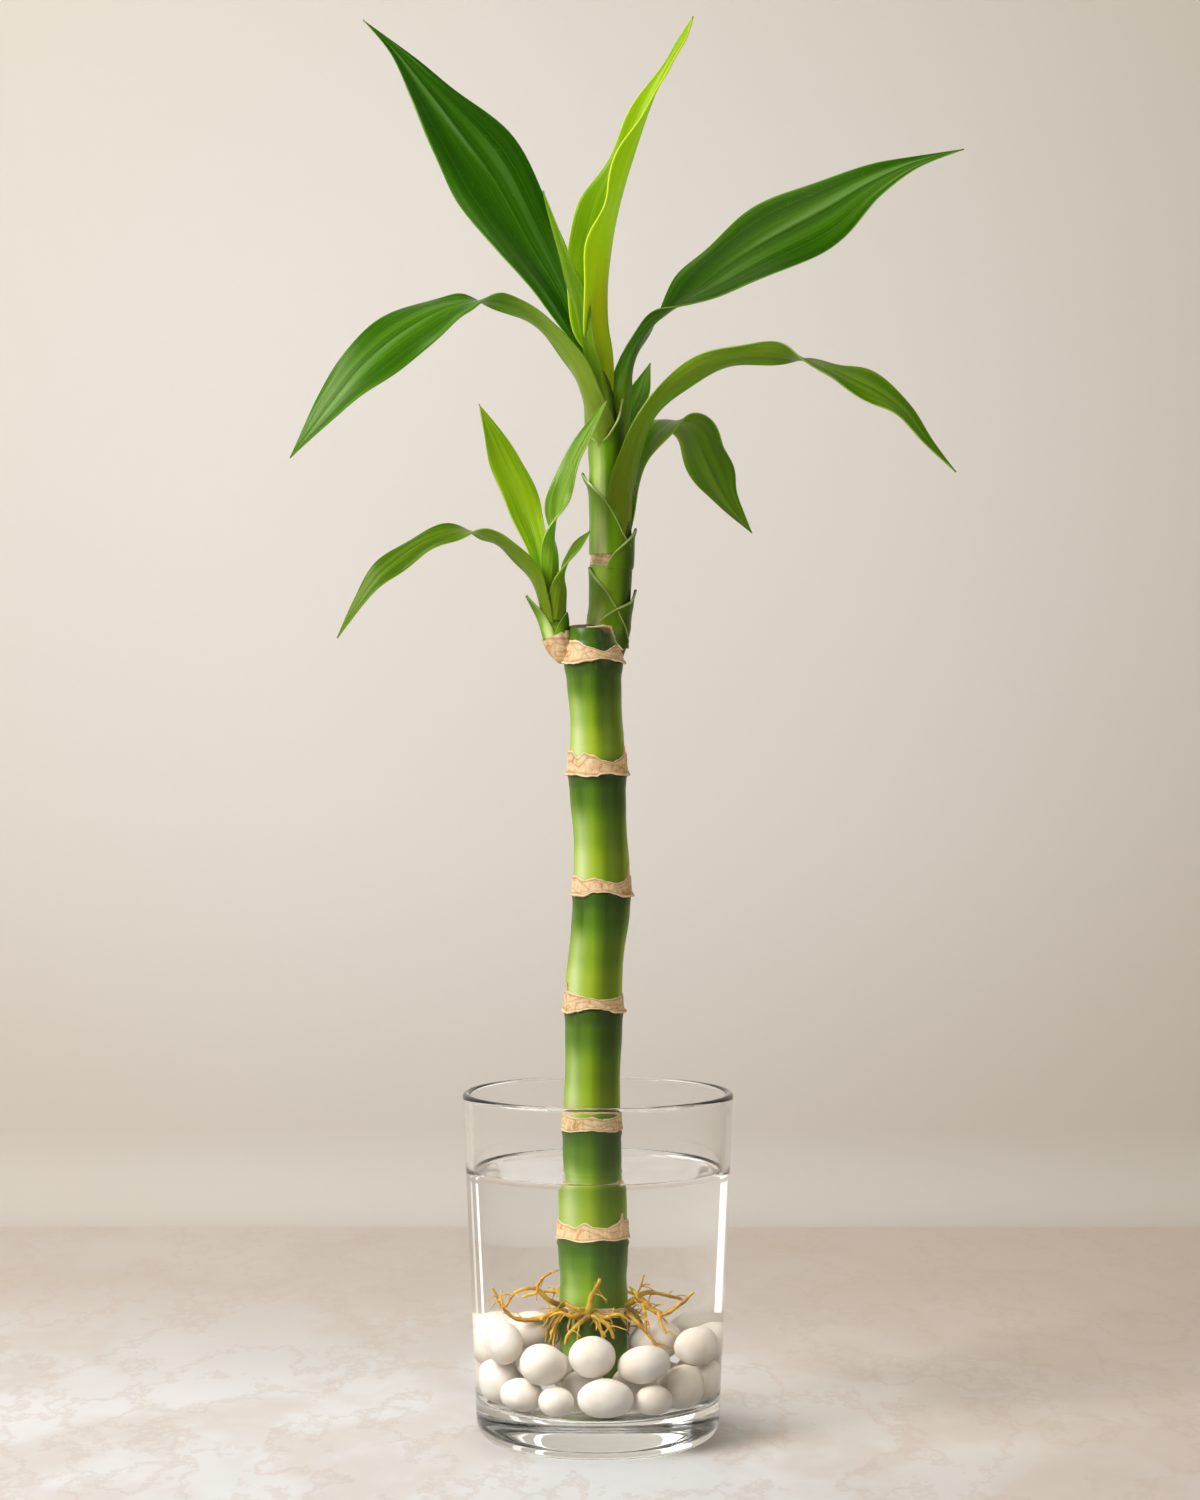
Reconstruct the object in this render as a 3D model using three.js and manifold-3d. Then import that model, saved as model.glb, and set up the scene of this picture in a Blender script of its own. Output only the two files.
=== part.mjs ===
// Lucky bamboo: one jointed green cane with two leafy shoots, standing in water and white
// pebbles in a clear tumbler. Millimetres, +Z up, +X to the right, -Y to the front.
// The origin is the middle of the tumbler's flat foot.
import * as THREE from 'three';
import { mergeVertices } from 'three/addons/utils/BufferGeometryUtils.js';
import Module from 'manifold-3d';

const wasm = await Module();
wasm.setup();

// ---------- driving dimensions ----------
const GAP = 0.3; // between pieces that touch
const TURN = 2 * Math.PI;
const DEGREE = Math.PI / 180;

const GLASS = {
  height: 112.5,
  rimRadius: 44.4,
  baseRadius: 39.6, // where the straight side would meet the table
  wall: 2.7,
  floor: 12,
  footRadius: 33.5,
  heel: 6.5,
  innerHeel: 3.5,
  sides: 36,
};
const WATER = { level: 87, meniscus: 1.2, meniscusReach: 2.4, holeRadius: 11, sides: 36 };
const CANE = { foot: 12.3, sides: 14 };
const SLEEVE = { wall: 0.8, sides: 18 };
const STEM_SIDES = 12;
const LEAF = { thickness: 0.8, steps: 2, rowsPerPoint: 1.35 }; // steps across each half of a blade
const ROOT_SIDES = 3;
const SLIVER = 0.03; // edges shorter than this are closed after a cut
const PEBBLE_GAP = 0.35;
const CANE_CLEAR = 9.5; // pebbles keep this far from the middle of the cane
// How the pebbles come to rest: the fall in a round, the rounds, and how near two may be to touch.
const SETTLING = { sink: 0.12, rounds: 360, restRounds: 60, farthest: 19, wallWays: 24 };

// The rings of the cane, from the top: height of the middle, width of the band, the cane's sideways
// bow there, the radius of the green stretch below, and peaks [degrees, rise, spread].
const RINGS = [
  { z: 256.6, band: 5.6, bow: -1.5, below: 8.55, peaks: [[215, 1.6, 25], [330, 1.2, 20]] },
  { z: 220.4, band: 6.4, bow: -0.2, below: 8.9, peaks: [[255, 1.8, 22], [350, 2.8, 10], [110, 1.5, 25]] },
  { z: 180.2, band: 5.4, bow: 1.2, below: 9.15, peaks: [[262, 0.8, 30], [352, 3.4, 10], [160, 1.2, 25]] },
  { z: 142.2, band: 5.2, bow: -1.4, below: 8.95, peaks: [[190, 3.4, 9], [350, 1.6, 14], [70, 1.4, 30]] },
  { z: 102.3, band: 4.6, bow: -2.0, below: 9.2, peaks: [[185, 1.5, 12], [355, 2.0, 12]] },
  { z: 68.0, band: 5.2, bow: -1.4, below: 9.0, peaks: [[250, 1.6, 22], [350, 2.2, 12], [120, 1.4, 25]] },
];
const ROOT_RING = { z: 42.4, band: 4.4, bow: -1.2, below: 9.0, peaks: [[270, 1.2, 20], [170, 1.4, 20]] };
const STUB = { top: 265.2, radius: 7.7, bow: -2.0 };
const SHOULDER = 9.95; // the cane's radius just under a ring
const RING_SEAT = 9.3; // the cane's radius under a ring

// Shoots: [x, y, z, radius] up the middle of each stem.
const MAIN_STEM = [
  [1.6, 9.4, 250.5, 2.4], [2.2, 10.6, 254.5, 5.2], [2.9, 11.3, 260, 6.7], [3.5, 11.6, 266, 6.8],
  [4.2, 11.5, 274, 6.6], [4.4, 11.3, 282, 6.9], [4.4, 11.2, 285.2, 6.9], [4.4, 11.2, 287.5, 6.2],
  [4.4, 11.2, 290, 6.4], [4.3, 11, 298, 6.7], [4.1, 11, 307, 6.1], [3.6, 11, 316, 5.6],
  [3.0, 11, 324, 5.2], [2.4, 11, 332, 4.9], [1.6, 11, 340, 4.0], [1.2, 11, 346, 2.8],
  [1.0, 11, 351, 0.8],
];
const SIDE_STEM = [
  [-11.6, 0.4, 253.5, 2.6], [-12.8, 0.4, 256.5, 4.6], [-13.6, 0.4, 260, 4.7], [-14.2, 0.3, 264, 4.2],
  [-15, 0, 270, 3.4], [-15.8, 0, 277, 2.7], [-16.4, 0.2, 284, 2.1], [-16.8, 0.6, 290, 1.4],
  [-17, 0.8, 294, 0.5],
];
const SHOOT_RING = { z: 287.4, band: 4.4, axis: [4.4, 11.2], seat: 6.4, peaks: [[235, 1.2, 20]] };
// The dried collar at the foot of the side shoot, part of the top ring: [x, y, z, radius].
const SIDE_COLLAR = [[-10.6, 0.4, 253.4, 3.2], [-11.8, 0.4, 255.6, 5.2], [-13, 0.4, 258.6, 5.8],
  [-13.8, 0.4, 261.4, 5.4]];

// Leaves, youngest first in each shoot. Each row follows the midrib from the base to the tip:
// [x, y, z], half width, the way the upper face looks, and how far each half turns up, in radians.
const LEAVES = {
  leaf_spear: {
    colour: 0x97bf22, crease: 0.85, row: [
      [[5.1, 11.0, 347], 6.4, [-1, 0, 0], 1.6], [[4.7, 10.6, 356], 8, [-1, -0.05, 0], 1.5],
      [[3.2, 10.2, 366], 11.2, [-1, -0.35, 0.05], 1.3], [[3.1, 10.2, 378], 14.2, [-1, -0.5, 0.1], 1.12],
      [[4.3, 10.2, 390], 14.6, [-1, -0.52, 0.1], 1.06], [[6.2, 10, 401], 13.4, [-1, -0.52, 0.15], 1.02],
      [[9, 9.6, 412], 10.6, [-1, -0.5, 0.2], 1.0], [[13.4, 9, 426], 7.2, [-1, -0.45, 0.25], 0.95],
      [[18.4, 8, 440], 4.4, [-0.9, -0.6, 0.3], 0.8], [[23.6, 6.5, 451], 1.8, [-0.5, -0.8, 0.2], 0.5],
      [[28.6, 5, 459], 2.2, [-0.7, -0.6, 0.5], 0.35], [[31.3, 3.6, 466], 0, [-0.8, -0.5, 0.3], 0.3],
    ],
  },
  leaf_young: {
    colour: 0x86b51c, crease: 0.6, row: [
      [[-3.4, 8.0, 349], 4.4, [0.9, 0.5, 0], 1.0], [[-4.8, 6.2, 358], 4.8, [0.85, 0.5, 0.1], 0.9],
      [[-7.6, 4.2, 371], 4.6, [0.8, 0.5, 0.2], 0.8], [[-11.2, 2.4, 383], 3.8, [0.75, 0.5, 0.3], 0.7],
      [[-14.6, 1, 395], 2.0, [0.7, 0.5, 0.3], 0.6], [[-18, 0, 408], 0, [0.7, 0.5, 0.3], 0.5],
    ],
  },
  leaf_upper_left: {
    colour: 0x3f7d22, crease: 0.35, row: [
      [[-3.4, 14.8, 341], 4.8, [0.8, -0.6, 0], 1.0], [[-4.3, 16, 353.5], 4.9, [0.6, -0.8, 0], 0.8],
      [[-7, 18, 363], 4.8, [0.4, -0.9, 0.1], 0.5], [[-13.8, 21.5, 378.2], 7.2, [0.25, -0.95, 0.25], 0.25],
      [[-23.2, 26.5, 394.4], 11.8, [0.15, -0.95, 0.3], 0.1],
      [[-35, 32, 416.4], 14.2, [0.1, -0.95, 0.3], 0.06],
      [[-46.8, 36, 433.4], 12.2, [0.1, -0.95, 0.3], 0.1], [[-58.2, 39, 449], 6.8, [0.1, -0.95, 0.3], 0.2],
      [[-69.2, 41, 463], 2.2, [0.1, -0.95, 0.3], 0.3], [[-80.4, 42.5, 474], 0, [0.1, -0.95, 0.3], 0.3],
    ],
  },
  leaf_upper_right: {
    colour: 0x417f24, crease: 0.35, row: [
      [[8.2, 13.8, 331], 5.2, [-0.9, -0.45, 0], 0.95], [[9.2, 14.9, 341.5], 5.0, [-0.9, -0.2, 0.2], 0.75],
      [[12.4, 16.8, 352.4], 4.8, [-0.75, 0.2, 0.6], 0.6], [[17.4, 19, 362.4], 4.8, [-0.5, 0.15, 0.8], 0.5],
      [[24.5, 22, 371], 5.8, [-0.35, -0.4, 0.85], 0.35], [[34, 26, 380.2], 9.8, [-0.3, -0.75, 0.6], 0.15],
      [[45.4, 30, 389.4], 12.4, [-0.25, -0.85, 0.45], -0.05],
      [[59.8, 34, 398.6], 13.9, [-0.2, -0.9, 0.4], -0.12],
      [[76.8, 38, 408.2], 12.6, [-0.2, -0.9, 0.35], -0.08], [[93.4, 41, 418.2], 7, [-0.2, -0.9, 0.35], 0.1],
      [[108.2, 43, 425], 2.5, [-0.15, -0.9, 0.4], 0.25], [[125.5, 45, 430.2], 0, [-0.1, -0.9, 0.4], 0.3],
    ],
  },
  leaf_arching_left: {
    colour: 0x47852a, crease: 0.35, row: [
      [[0.2, 5.3, 326], 6.6, [0.35, 0.95, 0], 1.15], [[-1.4, 4.6, 334], 6.2, [0.45, 0.85, 0.1], 1.0],
      [[-4.2, 3.8, 342], 5.4, [0.6, 0.7, 0.25], 0.8], [[-8.2, 2.8, 351], 4.9, [0.7, 0.55, 0.5], 0.6],
      [[-14.3, 1, 359.6], 4.3, [0.55, 0.6, 0.6], 0.45], [[-22, -1.5, 366.4], 4.0, [0.35, 0.7, 0.7], 0.35],
      [[-30.4, -4, 369.9], 3.8, [0.15, 0.6, 0.8], 0.3], [[-37.4, -6, 370.8], 4.6, [0, 0.1, 1], 0.2],
      [[-45, -8, 369.2], 6.6, [-0.15, -0.6, 0.8], 0.05],
      [[-54.7, -10.5, 365], 9, [-0.25, -0.85, 0.5], -0.1],
      [[-66.6, -13, 357], 10.2, [-0.3, -0.9, 0.35], -0.12],
      [[-77.3, -15, 347.2], 8.8, [-0.35, -0.9, 0.3], -0.05],
      [[-86, -16.5, 336.4], 6.1, [-0.4, -0.85, 0.3], 0.1],
      [[-92.9, -17.5, 327], 2.9, [-0.5, -0.8, 0.3], 0.25],
      [[-99.2, -18, 318.7], 0, [-0.5, -0.8, 0.3], 0.3],
    ],
  },
  leaf_small_back: {
    colour: 0x4f8f2b, crease: 0.4, row: [
      [[6.6, 17.2, 321], 4.2, [-0.5, -0.85, 0], 0.8], [[8.4, 18.8, 329], 4.6, [-0.5, -0.85, 0.1], 0.6],
      [[11.2, 20.8, 337], 4.9, [-0.4, -0.9, 0.2], 0.4], [[14.4, 23, 345], 3.6, [-0.4, -0.9, 0.3], 0.3],
      [[17.6, 25.2, 354.5], 0, [-0.4, -0.9, 0.3], 0.3],
    ],
  },
  leaf_arching_right: {
    colour: 0x4d8c26, crease: 0.35, row: [
      [[8.9, 5.4, 303], 6.6, [-0.6, 0.8, 0], 0.8], [[9.5, 4.7, 311], 6.2, [-0.65, 0.75, 0.1], 0.7],
      [[11.8, 3.7, 321], 5.2, [-0.7, 0.6, 0.3], 0.55], [[15.8, 2.2, 332], 4.6, [-0.6, 0.65, 0.5], 0.45],
      [[22.2, 0, 341], 4.2, [-0.4, 0.75, 0.55], 0.35], [[31.2, -4, 347.9], 4.1, [-0.2, 0.8, 0.6], 0.25],
      [[41.2, -8, 351.8], 4.2, [0, 0.8, 0.6], 0.2], [[51.4, -12, 352.8], 4.3, [0.1, 0.7, 0.7], 0.2],
      [[60.3, -15, 351.8], 4.7, [0.15, 0.45, 0.9], 0.2], [[67, -17, 350.2], 4.7, [0.2, 0, 1], 0.15],
      [[74.2, -19, 347.5], 5.0, [0.3, -0.6, 0.75], 0.05], [[82.2, -21, 343.7], 5.6, [0.3, -0.85, 0.45], 0],
      [[90.4, -23, 339.2], 5.2, [0.35, -0.85, 0.4], 0], [[97.7, -25, 333], 3.9, [0.45, -0.8, 0.4], 0.15],
      [[105, -27, 323.2], 1.9, [0.5, -0.8, 0.3], 0.3], [[114.1, -28, 313.3], 0, [0.55, -0.75, 0.3], 0.3],
    ],
  },
  leaf_low_back: {
    colour: 0x4f8c2c, crease: 0.35, row: [
      [[10, 15.8, 299], 6.0, [-0.75, -0.6, 0], 0.75], [[11.4, 17.4, 309], 5.6, [-0.7, -0.6, 0.2], 0.6],
      [[14.6, 21, 320.8], 5.4, [-0.6, -0.65, 0.4], 0.45],
      [[19.8, 26, 330.8], 6.2, [-0.35, -0.6, 0.75], 0.35],
      [[26.6, 32, 335.6], 7.6, [0, -0.1, 1], 0.25], [[32.4, 37, 331.8], 8.8, [0.4, 0.7, 0.6], 0.2],
      [[36.2, 40.4, 324.4], 8.8, [0.45, 0.8, 0.35], 0.2], [[40, 43, 316.6], 7.4, [0.45, 0.85, 0.3], 0.2],
      [[44.8, 45, 309], 4.2, [0.45, 0.85, 0.3], 0.25], [[52.9, 46, 298.6], 0, [0.45, 0.85, 0.3], 0.3],
    ],
  },
  side_leaf_upright: {
    colour: 0x7fae28, crease: 0.35, row: [
      [[-17.2, 2.8, 274], 3.4, [0.3, -0.95, 0], 0.8], [[-18.4, 3.6, 282], 3.2, [0.25, -0.95, 0.05], 0.6],
      [[-20.4, 5.4, 292], 3.8, [0.2, -0.95, 0.15], 0.4], [[-24.8, 8, 305.4], 5.8, [0.15, -0.95, 0.2], 0.25],
      [[-30.2, 10.5, 318], 5.4, [0.15, -0.95, 0.2], 0.22],
      [[-35.2, 12.5, 329.7], 2.9, [0.15, -0.95, 0.2], 0.3],
      [[-39.6, 14, 339.5], 0, [0.15, -0.95, 0.2], 0.3],
    ],
  },
  side_leaf_right: {
    colour: 0x74a636, crease: 0.4, row: [
      [[-15.2, -3.2, 275], 3.4, [-0.15, 0.95, 0], 0.95], [[-15, -3.6, 285], 3.4, [-0.4, 0.85, 0.1], 0.75],
      [[-14.2, -3.8, 296], 4.0, [-0.8, 0.1, 0.2], 0.6], [[-12.3, -4.2, 308], 4.4, [-0.5, -0.8, 0.3], 0.3],
      [[-8.2, -4.8, 319], 3.8, [-0.5, -0.8, 0.3], 0.2],
      [[-2.5, -5.6, 329.4], 2.3, [-0.55, -0.75, 0.35], 0.3],
      [[2.9, -6, 338.4], 0, [-0.6, -0.7, 0.4], 0.3],
    ],
  },
  side_leaf_arching: {
    colour: 0x4e8e2d, crease: 0.35, row: [
      [[-18.2, -2.4, 266], 4.0, [0.85, 0.5, 0], 0.85], [[-18.9, -3.1, 273], 3.8, [0.8, 0.5, 0.2], 0.7],
      [[-21.4, -4.6, 281.4], 3.5, [0.6, 0.6, 0.5], 0.5],
      [[-26.3, -6.5, 287.7], 3.4, [0.4, 0.65, 0.65], 0.35],
      [[-31.3, -8, 291.8], 3.4, [0.2, 0.6, 0.75], 0.3],
      [[-36.4, -9.5, 294.1], 3.4, [0.05, 0.35, 0.95], 0.2],
      [[-42.2, -11, 295.4], 3.6, [-0.1, -0.3, 1], 0.1],
      [[-49.2, -13, 294.5], 4.0, [-0.2, -0.75, 0.6], 0.05],
      [[-57.5, -15, 290.8], 4.4, [-0.3, -0.85, 0.45], 0],
      [[-65.1, -17, 285.4], 4.5, [-0.35, -0.85, 0.4], 0],
      [[-71.6, -18.5, 279.6], 4.1, [-0.45, -0.8, 0.4], 0.1],
      [[-77, -19.5, 271.8], 2.5, [-0.6, -0.7, 0.3], 0.2],
      [[-83.8, -20.5, 260.6], 0, [-0.7, -0.7, 0.2], 0.3],
    ],
  },
  side_leaf_small: {
    colour: 0x4a8a2b, crease: 0.4, row: [
      [[-13.4, -4.3, 267], 3.8, [-0.2, 0.95, 0], 0.8], [[-12.4, -4.8, 276], 3.4, [-0.45, 0.85, 0.1], 0.65],
      [[-10.3, -5.2, 284.6], 3.0, [-0.8, 0, 0.3], 0.5],
      [[-6.7, -5.6, 290.8], 2.3, [-0.5, -0.75, 0.45], 0.3],
      [[-2.6, -5.8, 296], 0, [-0.5, -0.75, 0.45], 0.3],
    ],
  },
};

// Pointed sheath tips that stay on the stems, in the same rows as the leaves.
const MAIN_SCALES = [
  [[[-2.1, 9.4, 290], 7.6, [1, 0.25, 0], 1.15], [[-2.6, 8.9, 300], 6.6, [1, 0.3, 0], 1.0],
    [[-3.6, 8.3, 309], 3.6, [1, 0.3, 0.1], 0.6], [[-5.0, 7.6, 316], 0, [1, 0.3, 0.2], 0.3]],
  [[[10.8, 8.6, 284], 7.4, [-0.95, 0.3, 0], 1.1], [[11.2, 8.3, 290], 4.6, [-0.95, 0.3, 0], 0.7],
    [[12.4, 7.8, 298], 0, [-0.95, 0.3, 0.2], 0.3]],
  [[[9.8, 8.6, 262], 7.2, [-0.95, 0.35, 0], 1.1], [[10.6, 8.3, 269], 4.6, [-0.95, 0.35, 0], 0.7],
    [[12.4, 7.8, 277.8], 0, [-0.95, 0.35, 0.2], 0.3]],
];
const SIDE_SCALES = [
  [[[-17.6, -1.4, 260.5], 4.8, [0.9, 0.4, 0], 0.95], [[-19.6, -2, 267.4], 3.4, [0.85, 0.4, 0.3], 0.7],
    [[-23.4, -2.8, 275], 0, [0.8, 0.4, 0.4], 0.3]],
  [[[-11.6, -3.2, 260], 3.2, [-0.6, 0.8, 0], 0.8], [[-10.8, -3.4, 265.4], 2.2, [-0.6, 0.8, 0], 0.6],
    [[-10.2, -3.4, 269.6], 0, [-0.6, 0.8, 0], 0.3]],
];

// Roots: [x, y, z] along each one and its radius at the base; all start in the root ring.
const ROOTS = [
  { radius: 1.1, path: [[-9, -3.4, 44], [-13.7, -6, 46.6], [-17.7, -8, 50.6],
    [-23.5, -10, 49.5], [-26.6, -11, 44.8]] },
  { radius: 0.8, path: [[-17.7, -8, 50.6], [-14.6, -7.4, 54.8], [-10.8, -7, 56.7]] },
  { radius: 1.0, path: [[-9, 1, 42.6], [-17, 0, 41.4], [-23.3, -2, 42],
    [-27.2, -4, 45.6], [-30, -5, 50]] },
  { radius: 0.9, path: [[-8, -5, 43], [-12.6, -8, 43], [-16.4, -10.6, 41]] },
  { radius: 1.2, path: [[-3, -9, 43], [-2.2, -11.6, 45], [-1.6, -12.2, 49.5], [0.2, -12.6, 54.4]] },
  { radius: 1.0, path: [[-2.4, -10, 43.4], [-6.6, -11.6, 41.6], [-10.6, -12.4, 42.4],
    [-13.6, -12.6, 41.4]] },
  { radius: 1.0, path: [[-1, -10, 43], [2.4, -12.4, 42.2], [6, -12.8, 43], [9.4, -12.2, 40.6]] },
  { radius: 1.3, path: [[7, -3, 44.4], [11.5, -5, 46], [15, -6, 43.6],
    [18.4, -7, 43], [23.3, -8, 46.4], [27.4, -9, 49.4]] },
  { radius: 0.9, path: [[11.5, -5, 46], [10.4, -6.4, 49], [8.6, -7.6, 51.2]] },
  { radius: 0.9, path: [[17, -6.6, 43.2], [17, -9, 41.6], [18.6, -12, 41]] },
  { radius: 0.7, path: [[9, -4.4, 45.4], [11.4, -6, 50], [12.8, -6.6, 55]] },
  { radius: 1.1, path: [[7.6, 2, 44], [12.6, 4, 47.4], [18, 5, 46.6], [22, 7.4, 44.4]] },
  { radius: 1.1, path: [[3, 8.6, 44], [6, 14, 46.4], [7.4, 19, 45.6], [10, 24, 43.6]] },
  { radius: 1.1, path: [[-6, 8, 44], [-10.4, 13, 46.6], [-15.4, 17, 45.6], [-18.6, 21, 43.4]] },
  { radius: 0.9, path: [[-10.4, 13, 46.6], [-9.4, 17.4, 47.8], [-6, 21, 47.2]] },
];

// Pebbles that show: middle, half sizes along their own axes, and turns about Y (tilt) and Z.
const SHOWN_PEBBLES = [
  { at: [-3.2, -26, 31.4], half: [7.2, 7, 7] },
  { at: [-1.8, -28.5, 19.2], half: [8.8, 7, 6.6] },
  { at: [10.6, -24.5, 26.8], half: [8.4, 6.8, 6.2], tilt: -10 },
  { at: [13, -30, 17.6], half: [6, 5.6, 5.2] },
  { at: [-16.6, -25, 18.2], half: [7.2, 6.6, 5.6] },
  { at: [-13.2, -27.5, 26.6], half: [5.8, 5.6, 5.2] },
  { at: [-20, -18, 30], half: [8.4, 6.8, 6.2], tilt: 12 },
  { at: [-27.6, -10, 35], half: [6.6, 6.8, 7.2] },
  { at: [-29.4, -9, 20.6], half: [7.2, 6.8, 7.6] },
  { at: [22.6, -21, 20.6], half: [7.4, 7.2, 7.4] },
  { at: [25.6, -14, 31.6], half: [7.6, 7, 6.6], tilt: 15 },
  { at: [30.6, -3.6, 21.6], half: [6.6, 7.4, 6.8] },
  { at: [29.4, 3, 36], half: [6.8, 7.2, 6.4], tilt: -10 },
];
// Pebbles round the back and under the roots, placed by rule: rings of [count, radius, height].
const HIDDEN_PEBBLES = { rings: [[4, 29, 20, 25, 155], [5, 17.4, 20, -100, 188], [6, 28, 34, 35, 195],
  [3, 17.4, 34, -20, 200]], half: [7.6, 7.2, 6.8], vary: 0.6 };

// ---------- solids from three.js geometry ----------
function facesOf(geometry) {
  const bare = new THREE.BufferGeometry();
  bare.setAttribute('position', geometry.getAttribute('position').clone());
  if (geometry.index) bare.setIndex(geometry.index.clone());
  const merged = mergeVertices(bare, 1e-4);
  const points = merged.getAttribute('position').array;
  const index = merged.index.array;
  const faces = [];
  let volume = 0;
  for (let i = 0; i < index.length; i += 3) {
    const [a, b, c] = [index[i], index[i + 1], index[i + 2]];
    if (a === b || b === c || c === a) continue;
    faces.push(a, b, c);
    const [p, q, r] = [a, b, c].map((k) => new THREE.Vector3().fromArray(points, 3 * k));
    volume += p.dot(q.cross(r));
  }
  if (volume < 0) faces.reverse();
  return { points: Float32Array.from(points), faces: Uint32Array.from(faces) };
}

function solid(geometry) {
  const { points, faces } = facesOf(geometry);
  return new wasm.Manifold(new wasm.Mesh({ numProp: 3, vertProperties: points, triVerts: faces }));
}

// What is left of a cut body: loose scraps and slivers go.
function largest(body) {
  const pieces = body.decompose();
  const best = pieces.reduce((one, other) => (other.volume() > one.volume() ? other : one));
  return best.simplify(SLIVER);
}

const group = new THREE.Group();
group.name = 'lucky_bamboo';

function add(name, body, look) {
  const { vertProperties, triVerts } = body.getMesh();
  const geometry = new THREE.BufferGeometry();
  geometry.setAttribute('position', new THREE.BufferAttribute(Float32Array.from(vertProperties), 3));
  geometry.setIndex(new THREE.BufferAttribute(Uint32Array.from(triVerts), 1));
  const mesh = new THREE.Mesh(geometry, new THREE.MeshStandardMaterial(look));
  mesh.name = name;
  group.add(mesh);
}

// A closed body through loops of points that all have the same count: a bar with flat ends, or,
// where the loops go round, a hoop with none.
function loft(rings, hoop = false) {
  const count = rings[0].length;
  const position = rings.flat().flatMap((p) => [p.x, p.y, p.z]);
  const index = [];
  for (let k = 0; k < rings.length - (hoop ? 0 : 1); k += 1) {
    const [low, high] = [k * count, ((k + 1) % rings.length) * count];
    for (let i = 0; i < count; i += 1) {
      const next = (i + 1) % count;
      index.push(low + i, low + next, high + next, low + i, high + next, high + i);
    }
  }
  for (const k of hoop ? [] : [0, rings.length - 1]) {
    const middle = rings[k].reduce((sum, p) => sum.add(p), new THREE.Vector3()).divideScalar(count);
    const hub = position.length / 3;
    position.push(middle.x, middle.y, middle.z);
    for (let i = 0; i < count; i += 1) {
      const [a, b] = [k * count + i, k * count + ((i + 1) % count)];
      index.push(...(k === 0 ? [hub, b, a] : [hub, a, b]));
    }
  }
  const geometry = new THREE.BufferGeometry();
  geometry.setAttribute('position', new THREE.Float32BufferAttribute(position, 3));
  geometry.setIndex(index);
  return geometry;
}

// A round body of changing radius along [x, y, z, radius] points, with level rings.
function uprightLoft(points, sides, grow = 0) {
  return loft(points.map(([x, y, z, radius], k) => {
    const end = k === 0 ? -grow : k === points.length - 1 ? grow : 0;
    return Array.from({ length: sides }, (_, i) => {
      const angle = (i / sides) * TURN;
      const r = radius + grow;
      return new THREE.Vector3(x + r * Math.cos(angle), y + r * Math.sin(angle), z + end);
    });
  }));
}

function revolve(profile, sides) {
  const lathe = new THREE.LatheGeometry(profile.map(([r, z]) => new THREE.Vector2(r, z)), sides);
  return solid(lathe.rotateX(Math.PI / 2));
}

function arc(from, corner, to, steps) {
  const curve = new THREE.QuadraticBezierCurve(
    new THREE.Vector2(...from), new THREE.Vector2(...corner), new THREE.Vector2(...to),
  );
  return curve.getPoints(steps).map((p) => [p.x, p.y]);
}

// ---------- the glass ----------
const glassRadius = (z) => THREE.MathUtils.lerp(GLASS.baseRadius, GLASS.rimRadius, z / GLASS.height);
const innerRadius = (z) => glassRadius(z) - GLASS.wall;

function glassProfile() {
  const lip = GLASS.wall / 2;
  const lipHeight = GLASS.height - lip;
  const heelTop = GLASS.floor + GLASS.innerHeel;
  const rim = Array.from({ length: 5 }, (_, i) => {
    const angle = (i / 4) * Math.PI;
    return [GLASS.rimRadius - lip + lip * Math.cos(angle), lipHeight + lip * Math.sin(angle)];
  });
  return [
    [0, 0],
    ...arc([GLASS.footRadius, 0], [GLASS.baseRadius - 0.3, 0], [glassRadius(GLASS.heel), GLASS.heel], 4),
    ...rim,
    ...arc([innerRadius(heelTop), heelTop], [innerRadius(GLASS.floor), GLASS.floor],
      [innerRadius(GLASS.floor) - GLASS.innerHeel, GLASS.floor], 3),
    [0, GLASS.floor],
  ];
}
add('tumbler', revolve(glassProfile(), GLASS.sides), {
  color: 0xe6efec, roughness: 0.04, metalness: 0, transparent: true, opacity: 0.3,
});

// ---------- the cane ----------
const bowTable = [...[...RINGS].reverse().map((ring) => [ring.z, ring.bow])];
bowTable.unshift([CANE.foot, ROOT_RING.bow], [ROOT_RING.z, ROOT_RING.bow]);
bowTable.push([STUB.top, STUB.bow]);

function bowAt(z) {
  const k = THREE.MathUtils.clamp(bowTable.findIndex(([height]) => height > z), 1, bowTable.length - 1);
  const [[z0, b0], [z1, b1]] = [bowTable[k - 1], bowTable[k]];
  return THREE.MathUtils.lerp(b0, b1, THREE.MathUtils.smootherstep(z, z0, z1));
}

// One stretch between two rings: wide under the upper ring, slim below it, wider again at the foot.
function stretchRows(upper, lowerTop) {
  const top = upper.z - upper.band / 2;
  const slim = upper.below;
  const height = top - lowerTop;
  return [
    [lowerTop - 0.4, RING_SEAT], [lowerTop + 3.5, Math.min(slim + 0.3, RING_SEAT)],
    [lowerTop + height * 0.4, slim], [top - 6, slim + 0.4], [top - 2.5, SHOULDER - 0.4],
    [top - 0.5, SHOULDER], [top + 0.4, RING_SEAT],
  ];
}

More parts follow.
